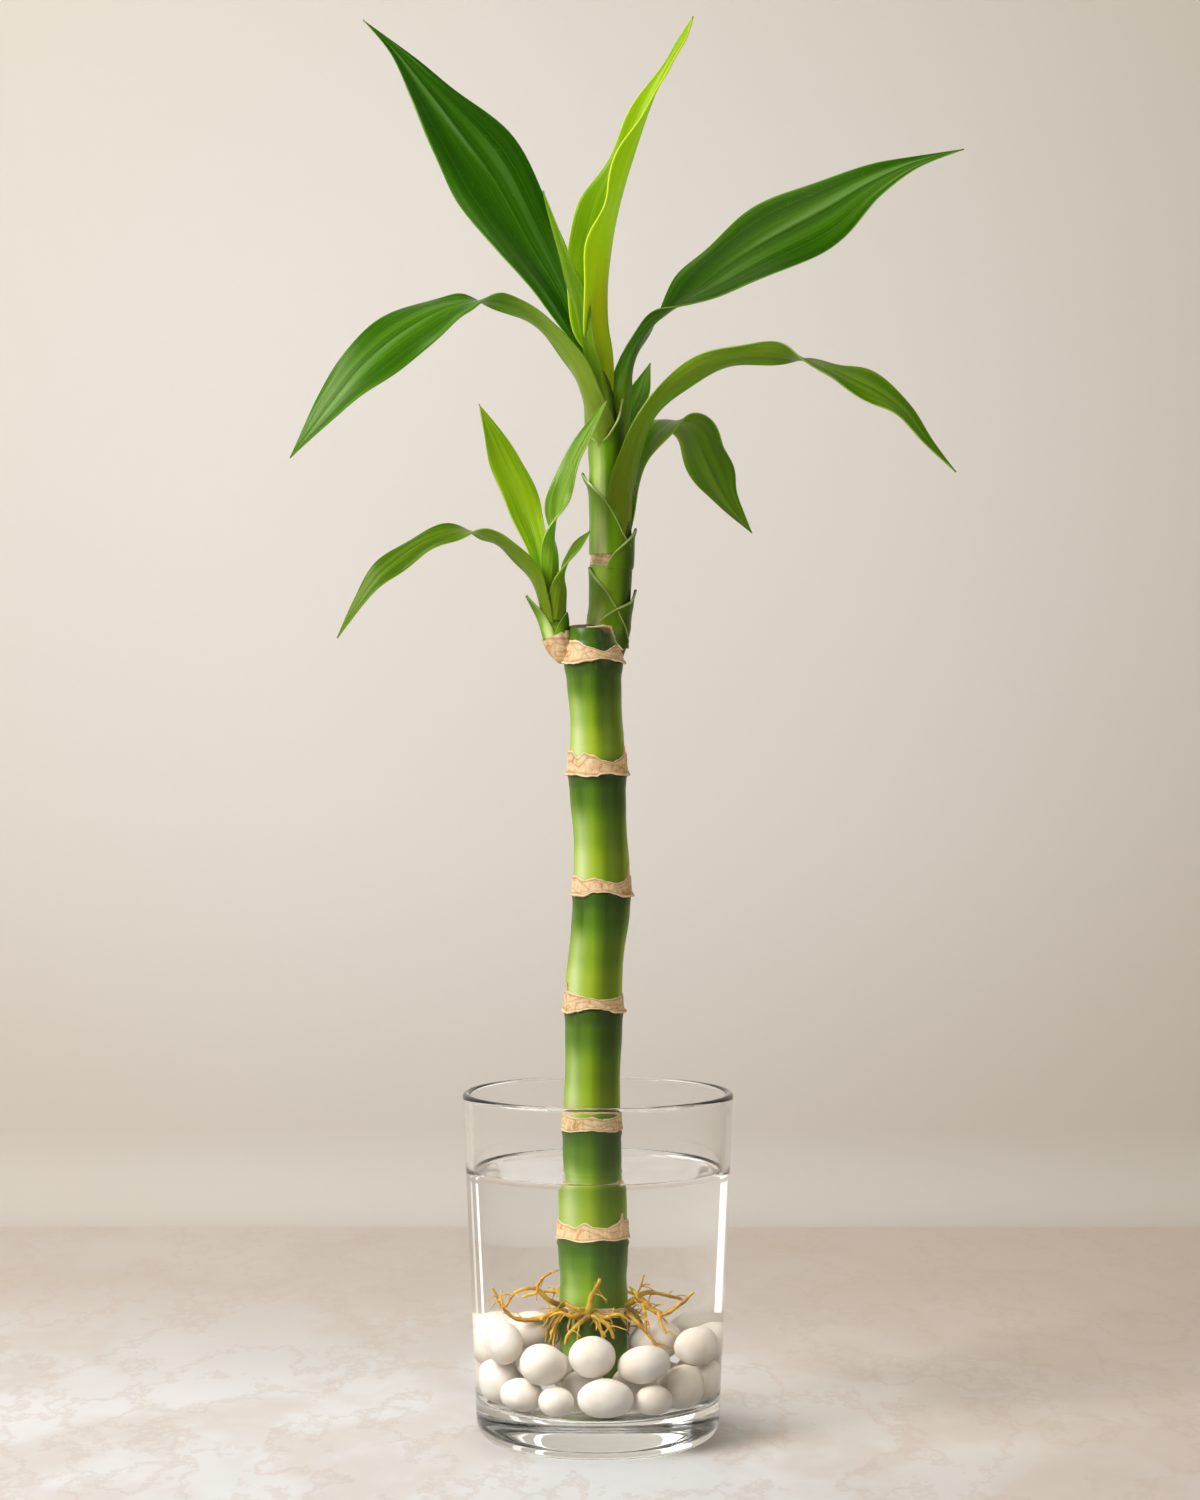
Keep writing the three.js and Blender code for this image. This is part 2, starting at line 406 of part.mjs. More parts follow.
function caneRows() {
  const bands = [...RINGS, ROOT_RING];
  const rows = [];
  bands.forEach((ring, k) => {
    const below = bands[k + 1];
    if (below) rows.push(...stretchRows(ring, below.z + below.band / 2));
  });
  const foot = CANE.foot;
  const lastTop = ROOT_RING.z - ROOT_RING.band / 2;
  rows.push([foot, 8.2], [foot + 1, 8.9], [foot + 12, ROOT_RING.below], [lastTop, RING_SEAT - 0.1]);
  const neck = RINGS[0].z + RINGS[0].band / 2;
  rows.push([neck - 1.6, RING_SEAT - 0.4], [neck + 0.6, STUB.radius + 0.35], [STUB.top - 1, STUB.radius],
    [STUB.top, STUB.radius - 0.5]);
  return rows.sort((a, b) => a[0] - b[0]);
}
const cane = (grow) => solid(uprightLoft(
  caneRows().map(([z, r]) => [bowAt(z), 0, z, r]), CANE.sides, grow,
));

// ---------- blades ----------
function spread(values, t) {
  const place = t * (values.length - 1);
  const k = Math.min(Math.floor(place), values.length - 2);
  const [before, from, to, after] = [k - 1, k, k + 1, k + 2].map(
    (i) => values[THREE.MathUtils.clamp(i, 0, values.length - 1)],
  );
  const s = place - k;
  return from + 0.5 * s * (to - before + s * (2 * before - 5 * from + 4 * to - after
    + s * (3 * (from - to) + after - before)));
}

// A blade follows its midrib; each half turns up towards the upper face, sharply at the midrib
// when crease is near 1. Its thickness is even, and both faces are split alike.
function blade(row, { crease = 0.4, rows = Math.round(LEAF.rowsPerPoint * row.length), grow = 0 } = {}) {
  const at = (t) => new THREE.Vector3(...[0, 1, 2].map((i) => spread(row.map((r) => r[0][i]), t)));
  const steps = LEAF.steps;
  const across = 2 * steps + 1;
  const upper = [];
  const lower = [];
  for (let k = 0; k < rows; k += 1) {
    const t = k / rows;
    const here = at(t);
    const tangent = at(Math.min(t + 0.01, 1)).sub(at(Math.max(t - 0.01, 0))).normalize();
    const face = new THREE.Vector3(...[0, 1, 2].map((i) => spread(row.map((r) => r[2][i]), t)));
    face.addScaledVector(tangent, -face.dot(tangent)).normalize();
    const side = new THREE.Vector3().crossVectors(tangent, face);
    const half = Math.max(spread(row.map((r) => r[1]), t), 0.5) + grow;
    const turn = spread(row.map((r) => r[3]), t);
    const thick = LEAF.thickness / 2 + grow;
    const ring = [];
    for (const hand of [-1, 1]) {
      const point = here.clone();
      const line = [];
      for (let i = 1; i <= steps; i += 1) {
        const lean = turn * (crease + (1 - crease) * (2 * i - 1) / (2 * steps));
        point.addScaledVector(side, hand * Math.cos(lean) * half / steps);
        point.addScaledVector(face, Math.sin(lean) * half / steps);
        const up = face.clone().multiplyScalar(Math.cos(lean)).addScaledVector(side, -hand * Math.sin(lean));
        line.push([point.clone(), up]);
      }
      if (hand < 0) ring.push(...line.reverse(), [here.clone(), face.clone()]);
      else ring.push(...line);
    }
    upper.push(ring.map(([p, up]) => p.clone().addScaledVector(up, thick)));
    lower.push(ring.map(([p, up]) => p.clone().addScaledVector(up, -thick)));
  }
  const tip = at(1);
  const end = at(1).sub(at(0.98)).normalize().multiplyScalar(grow);
  return bladeGeometry(upper, lower, tip.add(end), across);
}

function bladeGeometry(upper, lower, tip, across) {
  const rows = upper.length;
  const top = (k, i) => k * across + i;
  const under = (k, i) => (rows + k) * across + i;
  const position = [...upper.flat(), ...lower.flat()].flatMap((p) => [p.x, p.y, p.z]);
  position.push(tip.x, tip.y, tip.z);
  const end = 2 * rows * across;
  const index = [];
  const quad = (a, b, c, d) => index.push(a, b, c, a, c, d);
  for (let k = 0; k + 1 < rows; k += 1) {
    for (let i = 0; i + 1 < across; i += 1) {
      quad(top(k, i), top(k, i + 1), top(k + 1, i + 1), top(k + 1, i));
      index.push(under(k, i), under(k + 1, i + 1), under(k, i + 1));
      index.push(under(k, i), under(k + 1, i), under(k + 1, i + 1));
    }
    quad(top(k, 0), top(k + 1, 0), under(k + 1, 0), under(k, 0));
    quad(top(k, across - 1), under(k, across - 1), under(k + 1, across - 1), top(k + 1, across - 1));
  }
  const last = rows - 1;
  for (let i = 0; i + 1 < across; i += 1) {
    quad(top(0, i), under(0, i), under(0, i + 1), top(0, i + 1));
    index.push(top(last, i), top(last, i + 1), end);
    index.push(under(last, i + 1), under(last, i), end);
  }
  index.push(top(last, 0), end, under(last, 0));
  index.push(top(last, across - 1), under(last, across - 1), end);
  const geometry = new THREE.BufferGeometry();
  geometry.setAttribute('position', new THREE.Float32BufferAttribute(position, 3));
  geometry.setIndex(index);
  return geometry;
}

// ---------- shoots ----------
const scaleOf = (row, grow) => solid(blade(row, { rows: 6, grow }));
function stem(points, scales, grow) {
  const core = solid(uprightLoft(points, STEM_SIDES, grow));
  return scales.reduce((body, row) => body.add(scaleOf(row, grow)), core);
}
const caneFat = cane(GAP);
const mainStem = stem(MAIN_STEM, MAIN_SCALES, 0).subtract(caneFat);
const mainStemFat = stem(MAIN_STEM, MAIN_SCALES, GAP);
const sideStem = stem(SIDE_STEM, SIDE_SCALES, 0).subtract(caneFat);
const sideStemFat = stem(SIDE_STEM, SIDE_SCALES, GAP);

add('cane', cane(0), { color: 0x5f9a25, roughness: 0.35, metalness: 0 });
add('main_stem', largest(mainStem), { color: 0x6aa331, roughness: 0.4, metalness: 0 });
add('side_stem', largest(sideStem), { color: 0x77ab35, roughness: 0.4, metalness: 0 });

const growing = [mainStemFat, sideStemFat, caneFat];
for (const [name, { colour, crease, row }] of Object.entries(LEAVES)) {
  let leaf = solid(blade(row, { crease }));
  for (const fat of growing) {
    if (!leaf.intersect(fat).isEmpty()) leaf = leaf.subtract(fat);
  }
  add(name, largest(leaf), { color: colour, roughness: 0.45, metalness: 0 });
  growing.push(solid(blade(row, { crease, grow: GAP })));
}

// ---------- dried sheath rings ----------
// A band round a stem. Its top edge rises in peaks, given as [degrees, rise, spread].
function sleeve(ring, axis, seat) {
  const inner = seat + GAP;
  const outer = inner + SLEEVE.wall;
  const bottom = ring.z - ring.band / 2 + 0.5;
  return solid(loft(Array.from({ length: SLEEVE.sides }, (_, i) => {
    const angle = (i / SLEEVE.sides) * 360;
    const top = ring.peaks.reduce((z, [at, rise, spreadOut]) => {
      const off = Math.abs(((angle - at + 540) % 360) - 180) / spreadOut;
      return z + rise * Math.exp(-off * off);
    }, ring.z + ring.band / 2);
    const [across, along] = [Math.cos(angle * DEGREE), Math.sin(angle * DEGREE)];
    return [[inner, bottom], [outer, bottom], [outer, top - 1], [inner + 0.6, top], [inner, top]].map(
      ([r, z]) => new THREE.Vector3(axis[0] + r * across, axis[1] + r * along, z),
    );
  }), true));
}

const TAN = { color: 0xd8ae7c, roughness: 0.8, metalness: 0 };
RINGS.forEach((ring, k) => {
  let band = sleeve(ring, [ring.bow, 0], RING_SEAT);
  if (k === 0) {
    band = band.add(solid(uprightLoft(SIDE_COLLAR, STEM_SIDES))).subtract(caneFat);
    band = largest(band.subtract(sideStemFat).subtract(mainStemFat));
  }
  add(`sheath_ring_${k + 1}`, band, TAN);
});
const shootBand = sleeve(SHOOT_RING, SHOOT_RING.axis, SHOOT_RING.seat).subtract(mainStemFat);
add('sheath_ring_shoot', largest(shootBand), TAN);

// ---------- pebbles ----------
// Each pebble is an egg of three half sizes. They settle under their own weight between the
// floor, the glass, the cane and each other, without turning.
let seed = 20240611;
function random() {
  seed = (seed * 1664525 + 1013904223) % 4294967296;
  return seed / 4294967296;
}

function pebble({ at, half, tilt = 0, turn = 0 }) {
  const rotation = new THREE.Matrix4().makeRotationFromEuler(
    new THREE.Euler(0, tilt * DEGREE, turn * DEGREE, 'ZYX'),
  );
  const spread2 = new THREE.Matrix4().makeScale(...half.map((h) => h * h));
  const shape = rotation.clone().multiply(spread2).multiply(rotation.clone().transpose());
  return { at: new THREE.Vector3(...at), half, rotation, shape: new THREE.Matrix3().setFromMatrix4(shape) };
}

function startingPebbles() {
  const pebbles = SHOWN_PEBBLES.map((shown) => pebble(shown));
  for (const [count, radius, z, from, sweep] of HIDDEN_PEBBLES.rings) {
    for (let i = 0; i < count; i += 1) {
      const angle = (from + sweep * (i / Math.max(count - 1, 1))) * DEGREE;
      const half = HIDDEN_PEBBLES.half.map((h) => h + HIDDEN_PEBBLES.vary * (2 * random() - 1));
      const at = [radius * Math.cos(angle), radius * Math.sin(angle), z];
      pebbles.push(pebble({ at, half, tilt: 50 * random() - 25, turn: 360 * random() }));
    }
  }
  return pebbles;
}

const reach = (shape, d) => Math.sqrt(d.dot(d.clone().applyMatrix3(shape)));

// The direction in which two eggs first touch as both are scaled up together.
function touching(one, two) {
  const apart = two.at.clone().sub(one.at);
  const solved = (share) => {
    const mix = new THREE.Matrix3();
    mix.elements.forEach((_, i) => {
      mix.elements[i] = (1 - share) * one.shape.elements[i] + share * two.shape.elements[i];
    });
    return apart.clone().applyMatrix3(mix.invert());
  };
  const depth = (share) => share * (1 - share) * apart.dot(solved(share));
  let [low, high] = [0.05, 0.95];
  for (let i = 0; i < 14; i += 1) {
    const third = (high - low) / 3;
    if (depth(low + third) < depth(high - third)) low += third;
    else high -= third;
  }
  return solved((low + high) / 2).normalize();
}

function settle(pebbles) {
  const axis = bowAt(CANE.foot);
  const { sink, rounds, restRounds } = SETTLING;
  for (let round = 0; round < rounds + restRounds; round += 1) {
    const fall = round < rounds ? sink : 0;
    for (const p of pebbles) p.at.z -= fall;
    for (let pass = 0; pass < 3; pass += 1) {
      for (let i = 0; i < pebbles.length; i += 1) {
        for (let j = i + 1; j < pebbles.length; j += 1) {
          const [one, two] = [pebbles[i], pebbles[j]];
          if (one.at.distanceTo(two.at) > SETTLING.farthest) continue;
          const way = touching(one, two);
          const free = way.dot(two.at.clone().sub(one.at)) - reach(one.shape, way) - reach(two.shape, way);
          if (free >= PEBBLE_GAP) continue;
          one.at.addScaledVector(way, (free - PEBBLE_GAP) / 2);
          two.at.addScaledVector(way, (PEBBLE_GAP - free) / 2);
        }
      }
      pebbles.forEach((p) => keepInside(p, axis));
    }
  }
  return pebbles;
}

function keepInside(p, axis) {
  const out = new THREE.Vector3(p.at.x - axis, p.at.y, 0);
  const distance = out.length();
  out.normalize();
  const short = CANE_CLEAR + reach(p.shape, out) - distance;
  if (short > 0) p.at.addScaledVector(out, short);
  const ways = SETTLING.wallWays;
  for (let i = 0; i < ways; i += 1) {
    const way = new THREE.Vector3(Math.cos((i / ways) * TURN), Math.sin((i / ways) * TURN), 0);
    const over = way.dot(p.at) + reach(p.shape, way) + PEBBLE_GAP + 0.1 - innerRadius(p.at.z - 2);
    if (over > 0) p.at.addScaledVector(way, -over);
  }
  const under = GLASS.floor + GAP + 0.05 + reach(p.shape, new THREE.Vector3(0, 0, 1)) - p.at.z;
  if (under > 0) p.at.z += under;
}

function egg({ at, half, rotation }, grow = 0) {
  const ball = new THREE.IcosahedronGeometry(1, 1);
  ball.scale(...half.map((h) => h + grow));
  ball.applyMatrix4(rotation);
  return solid(ball.translate(at.x, at.y, at.z));
}

// An icosahedron round the pebble: its faces lie this much nearer the middle than its corners.
const ICOSAHEDRON_FACE = 0.795;
function pebbleHole({ at, half, rotation }) {
  const block = new THREE.IcosahedronGeometry(1, 0);
  block.scale(...half.map((h) => (h + GAP) / ICOSAHEDRON_FACE));
  block.applyMatrix4(rotation);
  return solid(block.translate(at.x, at.y, at.z));
}

const pebbles = settle(startingPebbles());
pebbles.forEach((p, k) => add(`pebble_${String(k + 1).padStart(2, '0')}`, egg(p), {
  color: 0xece6dc, roughness: 0.45, metalness: 0,
}));

// ---------- roots ----------
function root({ radius, path }, grow) {
  const curve = new THREE.CatmullRomCurve3(path.map((p) => new THREE.Vector3(...p)));
  const steps = path.length;
  const frames = curve.computeFrenetFrames(steps);
  const rings = Array.from({ length: steps + 1 }, (_, k) => {
    const middle = curve.getPointAt(k / steps);
    const r = radius * (1 - 0.55 * (k / steps)) + grow;
    return Array.from({ length: ROOT_SIDES }, (_, i) => {
      const angle = (i / ROOT_SIDES) * TURN;
      return middle.clone().addScaledVector(frames.normals[k], r * Math.cos(angle))
        .addScaledVector(frames.binormals[k], r * Math.sin(angle));
    });
  });
  return solid(loft(rings));
}
const rootBand = sleeve(ROOT_RING, [ROOT_RING.bow, 0], RING_SEAT);
function rootsOf(grow) {
  let body = rootBand;
  for (const one of ROOTS) body = body.add(root(one, grow));
  return body;
}
let roots = rootsOf(0).subtract(caneFat);
for (const p of pebbles) roots = roots.subtract(egg(p, GAP));
add('roots', largest(roots), { color: 0xd09a33, roughness: 0.55, metalness: 0 });

// ---------- water ----------
function waterProfile() {
  const { level, meniscus, meniscusReach } = WATER;
  const wall = (z) => innerRadius(z) - GAP;
  const bottom = GLASS.floor + GAP;
  const corner = bottom + GLASS.innerHeel;
  return [
    [0, bottom],
    ...arc([wall(bottom) - GLASS.innerHeel, bottom], [wall(bottom), bottom], [wall(corner), corner], 3),
    [wall(level + meniscus), level + meniscus], [wall(level) - 0.6, level + 0.35 * meniscus],
    [wall(level) - meniscusReach, level], [0, level],
  ];
}
// The cane stands in a plain hole, and each pebble in a rough twenty-sided one.
const caneHole = [CANE.foot - 1, WATER.level + 1].map((z) => [ROOT_RING.bow, 0, z, WATER.holeRadius]);
let water = revolve(waterProfile(), WATER.sides).subtract(solid(uprightLoft(caneHole, CANE.sides)));
water = water.subtract(rootsOf(GAP));
for (const p of pebbles) water = water.subtract(pebbleHole(p));
add('water', largest(water), {
  color: 0xeaf4f2, roughness: 0.02, metalness: 0, transparent: true, opacity: 0.2,
});

export default group;
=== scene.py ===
# A lucky bamboo in a clear tumbler of water and white pebbles: one jointed cane with two leafy
# shoots. Metres, +Z up, -Y to the front; the tumbler's foot stands on z = 0.
import random
from math import atan2, cos, degrees, exp, hypot, pi, radians, sin

import bpy
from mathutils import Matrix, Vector, noise


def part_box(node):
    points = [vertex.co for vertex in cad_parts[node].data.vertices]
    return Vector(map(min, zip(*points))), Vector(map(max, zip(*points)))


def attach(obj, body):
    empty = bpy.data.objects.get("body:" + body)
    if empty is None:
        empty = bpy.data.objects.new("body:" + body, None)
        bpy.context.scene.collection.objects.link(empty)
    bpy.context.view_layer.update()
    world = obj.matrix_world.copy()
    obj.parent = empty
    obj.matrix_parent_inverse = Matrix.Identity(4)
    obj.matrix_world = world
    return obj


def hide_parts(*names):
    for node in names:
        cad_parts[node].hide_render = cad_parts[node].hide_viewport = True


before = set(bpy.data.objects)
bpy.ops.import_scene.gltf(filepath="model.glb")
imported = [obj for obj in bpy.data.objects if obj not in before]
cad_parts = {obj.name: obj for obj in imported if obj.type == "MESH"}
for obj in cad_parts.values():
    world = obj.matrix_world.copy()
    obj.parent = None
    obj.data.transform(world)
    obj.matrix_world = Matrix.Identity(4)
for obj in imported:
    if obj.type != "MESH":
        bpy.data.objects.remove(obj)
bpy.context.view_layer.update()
scene = bpy.context.scene
MM = 0.001  # the object's own tables and sizes are in millimetres, the room's in metres


# ---------- table top, wall, lamps and camera ----------
# A matt pale table top that sweeps up into a warm beige wall. One broad lamp stands to the left
# and in front, as a window would, with weak ones on the right and above. The camera looks level.
class Value:
    """One socket of a finish, so that sums on it can be written in Python."""

    def __init__(self, finish, socket):
        self.finish = finish
        self.socket = socket

    def math(self, operation, first, second=0.0):
        return self.finish.node("Math", {0: first, 1: second}, operation=operation)

    def __add__(self, other):
        return self.math("ADD", self, other)

    def __sub__(self, other):
        return self.math("SUBTRACT", self, other)

    def __rsub__(self, other):
        return self.math("SUBTRACT", other, self)

    def __mul__(self, other):
        return self.math("MULTIPLY", self, other)

    def __pow__(self, other):
        return self.math("POWER", self, other)

    def __abs__(self):
        return self.math("ABSOLUTE", self)

    __radd__ = __add__
    __rmul__ = __mul__

    def between(self, low, high):
        """Goes smoothly from 0 at low to 1 at high."""
        return self.finish.node("MapRange", {0: self, 1: low, 2: high}, interpolation_type="SMOOTHSTEP")


class Finish:
    """A material, or the room's own light, built node by node."""

    def __init__(self, name, holder=None):
        self.material = holder or bpy.data.materials.new(name)
        self.material.use_nodes = True
        self.tree = self.material.node_tree
        self.tree.nodes.clear()

    def node(self, kind, sockets=None, out=0, **settings):
        made = self.tree.nodes.new("ShaderNode" + kind)
        for key, value in settings.items():
            if key == "stops":
                ramp = made.color_ramp.elements
                ramp[0].position, ramp[1].position = value[0][0], value[-1][0]
                for place, _ in value[1:-1]:
                    ramp.new(place)
                for stop, (_, colour) in zip(ramp, value):
                    stop.color = colour
            else:
                setattr(made, key, value)
        for key, value in (sockets or {}).items():
            if isinstance(value, Value):
                self.tree.links.new(value.socket, made.inputs[key])
            else:
                made.inputs[key].default_value = value
        return Value(self, made.outputs[out]) if made.outputs else None

    def place(self, stretch=(1, 1, 1)):
        here = self.node("TexCoord", out="Object")
        return self.node("Mapping", {"Vector": here, "Scale": stretch})

    def axes(self, place):
        """The x, y and z of a place, or the u and v of a UV."""
        x = self.node("SeparateXYZ", {0: place})
        return [Value(self, one) for one in x.socket.node.outputs]

    def cloudy(self, place, scale, detail, roughness):
        return self.node("TexNoise", {
            "Vector": place, "Scale": scale, "Detail": detail, "Roughness": roughness})

    def grain(self, size, stretch=(1, 1, 1), detail=3, roughness=0.5):
        """Cloudy values round 0.5; size is the width of one cloud in metres."""
        return self.cloudy(self.place(stretch), 1 / size, detail, roughness)

    def attribute(self, name):
        return self.node("Attribute", out="Fac", attribute_name=name)

    def coat(self, tone, *layers):
        """Lays colours over a tone in turn, each as far as its share says: (share, red, green,
        blue) for a colour as seen, or (share, tone)."""
        for share, *colour in layers:
            colour = seen(*colour) if len(colour) == 3 else colour[0]
            tone = self.node("Mix", {0: share, 6: tone, 7: colour}, 2, data_type="RGBA")
        return tone

    def ramp(self, value, *stops):
        """Colours as seen at stops along a value: (value, red, green, blue)."""
        stops = [(place, seen(*colour)) for place, *colour in stops]
        return self.node("ValToRGB", {0: value}, "Color", stops=stops)

    def bump(self, height, distance, strength):
        return self.node("Bump", {
            "Height": height, "Distance": distance, "Strength": strength}, "Normal")

    def skin(self, **sockets):
        """The plain shader, its sockets named with underscores for spaces."""
        named = {key.replace("_", " "): value for key, value in sockets.items()}
        return self.node("BsdfPrincipled", named)

    def show(self, shader):
        self.node("OutputMaterial", {"Surface": shader})
        return self.material


def seen(red, green, blue):
    """A colour as it looks in the picture, 0 to 255, in the shader's own values."""
    parts = [part / 255 for part in (red, green, blue)]
    return (*[p / 12.92 if p <= 0.04045 else ((p + 0.055) / 1.055) ** 2.4 for p in parts], 1)


def let_go():
    if bpy.context.mode != "OBJECT":
        bpy.ops.object.mode_set(mode="OBJECT")
    bpy.ops.object.select_all(action="DESELECT")


def take(piece):
    let_go()
    piece.select_set(True)
    bpy.context.view_layer.objects.active = piece


def named(name):
    """Names the piece just made."""
    bpy.context.object.name = name
    return bpy.context.object


def open_up():
    """Goes into the piece in hand, with all of it picked."""
    bpy.ops.object.mode_set(mode="EDIT")
    bpy.ops.mesh.select_all(action="SELECT")


def wall_finish():
    plaster = Finish("matt_beige_wall")
    cloud = plaster.grain(0.35, detail=2)
    aside, _, up = plaster.axes(plaster.place())
    # Painted light and shade on the wall: lighter round a spot up and to the left, darker away from it
    # (a painted pool of light) and darker towards the floor (painted shade).
    from_lit_spot = ((aside + 0.02) * (aside + 0.02) + (up - 0.3) * (up - 0.3)) ** 0.5
    tone = plaster.coat(
        seen(222, 217, 211), (cloud, 228, 223, 217),
        (from_lit_spot.between(0.12, 0.45) * 0.8, 205, 197, 185),
        (up.between(0.2, 0.0) * 0.3, 196, 188, 178))
    front = plaster.skin(
        Base_Color=tone, Roughness=0.8 + 0.1 * cloud, Specular_IOR_Level=0.2,
        Normal=plaster.bump(plaster.grain(0.003, detail=2), 0.0001, 0.4))
    rear = plaster.node("NewGeometry", out="Backfacing")
    clear = plaster.node("BsdfTransparent")
    return plaster.show(plaster.node("MixShader", {0: rear, 1: front, 2: clear}))


def table_finish():
    marble = Finish("pale_marble")
    cloud = marble.grain(0.09, detail=4, roughness=0.6)
    drift = marble.grain(0.16, (1, 0.6, 1), detail=5, roughness=0.6)
    vein = marble.grain(0.05, (1, 0.5, 1), detail=6, roughness=0.65)
    aside, back, _ = marble.axes(marble.place())
    tone = marble.coat(
        seen(228, 227, 226), (cloud.between(0.35, 0.7), 235, 235, 234),
        ((1 - abs(drift - 0.5) * 9).between(0.3, 1) * 0.4, 208, 190, 176),
        # Painted shade towards the back and a painted shadow of the tumbler on its right: the next two
        # browns.
        (back.between(0.0, 0.28) * 0.75, 198, 185, 172),
        (aside.between(-0.01, 0.2) * 0.6, 205, 187, 169),
        ((1 - abs(vein - 0.5) * 26).between(0.2, 1) * 0.3, 200, 180, 164))
    return marble.show(marble.skin(
        Base_Color=tone, Roughness=0.5 + 0.15 * cloud, Specular_IOR_Level=0.3,
        Normal=marble.bump(cloud, 0.0001, 0.3)))


TABLE_WIDTH, TABLE_DEPTH, TABLE_MIDDLE = 4.0, 2.9, -1.045  # metres, as the wall's are
WALL_CURVE, WALL_STEPS, WALL_HEIGHT = 0.04, 8, 1.2
let_go()
bpy.ops.mesh.primitive_plane_add(size=1, location=(0, 0, 0))
room = named("table_and_wall")
bpy.ops.object.mode_set(mode="EDIT")
bpy.ops.transform.resize(value=(TABLE_WIDTH, TABLE_DEPTH, 1))
bpy.ops.transform.translate(value=(0, TABLE_MIDDLE, 0))
bpy.ops.mesh.select_all(action="DESELECT")
bpy.ops.object.mode_set(mode="OBJECT")
for corner in room.data.vertices:
    corner.select = corner.co.y > 0
bpy.ops.object.mode_set(mode="EDIT")
bpy.ops.mesh.select_mode(type="VERT")
for step in range(WALL_STEPS):
    low, high = (radians(90 * k / WALL_STEPS) for k in (step, step + 1))
    climb = (0, WALL_CURVE * (sin(high) - sin(low)), WALL_CURVE * (cos(low) - cos(high)))
    bpy.ops.mesh.extrude_region_move(TRANSFORM_OT_translate={"value": climb})
bpy.ops.mesh.extrude_region_move(TRANSFORM_OT_translate={"value": (0, 0, WALL_HEIGHT)})
bpy.ops.object.mode_set(mode="OBJECT")
bpy.ops.object.shade_smooth()
room.data.materials.append(table_finish())
room.data.materials.append(wall_finish())
for face in room.data.polygons:
    face.material_index = 1 if face.center.z > 0.0001 else 0

LAMPS = {  # place, what it looks at, size, watts, colour
    "window_lamp": ((-1.2, -0.72, 1.2), (0, 0.05, 0.25), 0.7, 32, (1.0, 1.0, 1.0)),
    "fill_lamp": ((1.3, -1.1, 0.8), (0, 0, 0.25), 1.0, 4.5, (1.0, 0.97, 0.9)),
    "ceiling_lamp": ((0.15, -0.15, 1.5), (0.05, 0.3, 0.2), 0.8, 1.6, (1.0, 0.96, 0.9)),
}
for name, (place, aim, size, watts, colour) in LAMPS.items():
    turn = (Vector(aim) - Vector(place)).to_track_quat("-Z", "Y").to_euler()
    bpy.ops.object.light_add(type="AREA", location=place, rotation=turn)
    lamp = named(name).data
    lamp.size, lamp.energy, lamp.color = size, watts, colour

# The room is dim in front of the plant, but what shows through the glass is as pale as the wall.
room_light = Finish("pale_room", bpy.data.worlds.new("pale_room"))
through, mirrored, straight = (
    room_light.node("LightPath", out=f"Is {way} Ray")
    for way in ("Transmission", "Glossy", "Camera"))
heading = room_light.node("TexCoord", out="Generated")
back = room_light.axes(heading)[1].between(-0.35, 0.1)
room_light.node("OutputWorld", {"Surface": room_light.node("Background", {
    "Color": seen(238, 228, 214),
    "Strength": 0.16 + (0.6 * through + 0.25 * mirrored) * back + 0.6 * straight})})
scene.world = room_light.material

# Slim lamps behind the tumbler that light nothing: its edges bend them into view as pale streaks.
STREAK_BACK, STREAK_MIDDLE, STREAK_HEIGHT = 0.12, 0.034, 0.066
STREAKS = (-0.037, 0.028, 0.0055), (0.0205, 0.004, 0.0008), (0.036, 0.008, 0.0009)  # x, width, watts
for number, (x, wide, watts) in enumerate(STREAKS):
    bpy.ops.object.light_add(type="AREA", location=(x, STREAK_BACK, STREAK_MIDDLE),
                             rotation=(radians(90), 0, radians(180)))
    lamp = named(f"streak_lamp_{number}")
    lamp.data.shape = "RECTANGLE"
    lamp.data.size, lamp.data.size_y, lamp.data.energy = wide, STREAK_HEIGHT, watts
    lamp.visible_camera = lamp.visible_diffuse = lamp.visible_glossy = False

PHOTO_HEIGHT = 1500
bpy.ops.object.camera_add(location=(0, -0.984, 0.233), rotation=(radians(90), 0, 0))
camera = bpy.context.object
camera.data.sensor_width = 36
camera.data.lens = 72
camera.data.shift_x, camera.data.shift_y = 2 / PHOTO_HEIGHT, -26 / PHOTO_HEIGHT
scene.camera = camera
scene.view_settings.view_transform = "Standard"
for kind, bounces in (("max", 24), ("glossy", 16), ("transmission", 24), ("transparent_max", 24)):
    setattr(scene.cycles, kind + "_bounces", bounces)


# ---------- tumbler ----------
# A clear pressed-glass tumbler with a thick floor, a rounded heel and a fire-polished lip. Half
# its section is drawn point by point, then spun round.
GLASS = {"height": 112.5, "rim": 44.4, "base": 39.6, "wall": 2.7, "floor": 12, "heel": 6.5,
         "inner_heel": 3.5}
ROUND_STEPS = 128
WELD = 0.00002


def outer_radius(z):
    return GLASS["base"] + (GLASS["rim"] - GLASS["base"]) * z / GLASS["height"]


def inner_radius(z):
    return outer_radius(z) - GLASS["wall"]


def bend(start, corner, end, steps):
    """Points from start to end, rounding off the corner between them."""
    shares = [k / steps for k in range(steps + 1)]
    return [tuple((1 - s) ** 2 * a + 2 * s * (1 - s) * b + s * s * c
                  for a, b, c in zip(start, corner, end)) for s in shares]


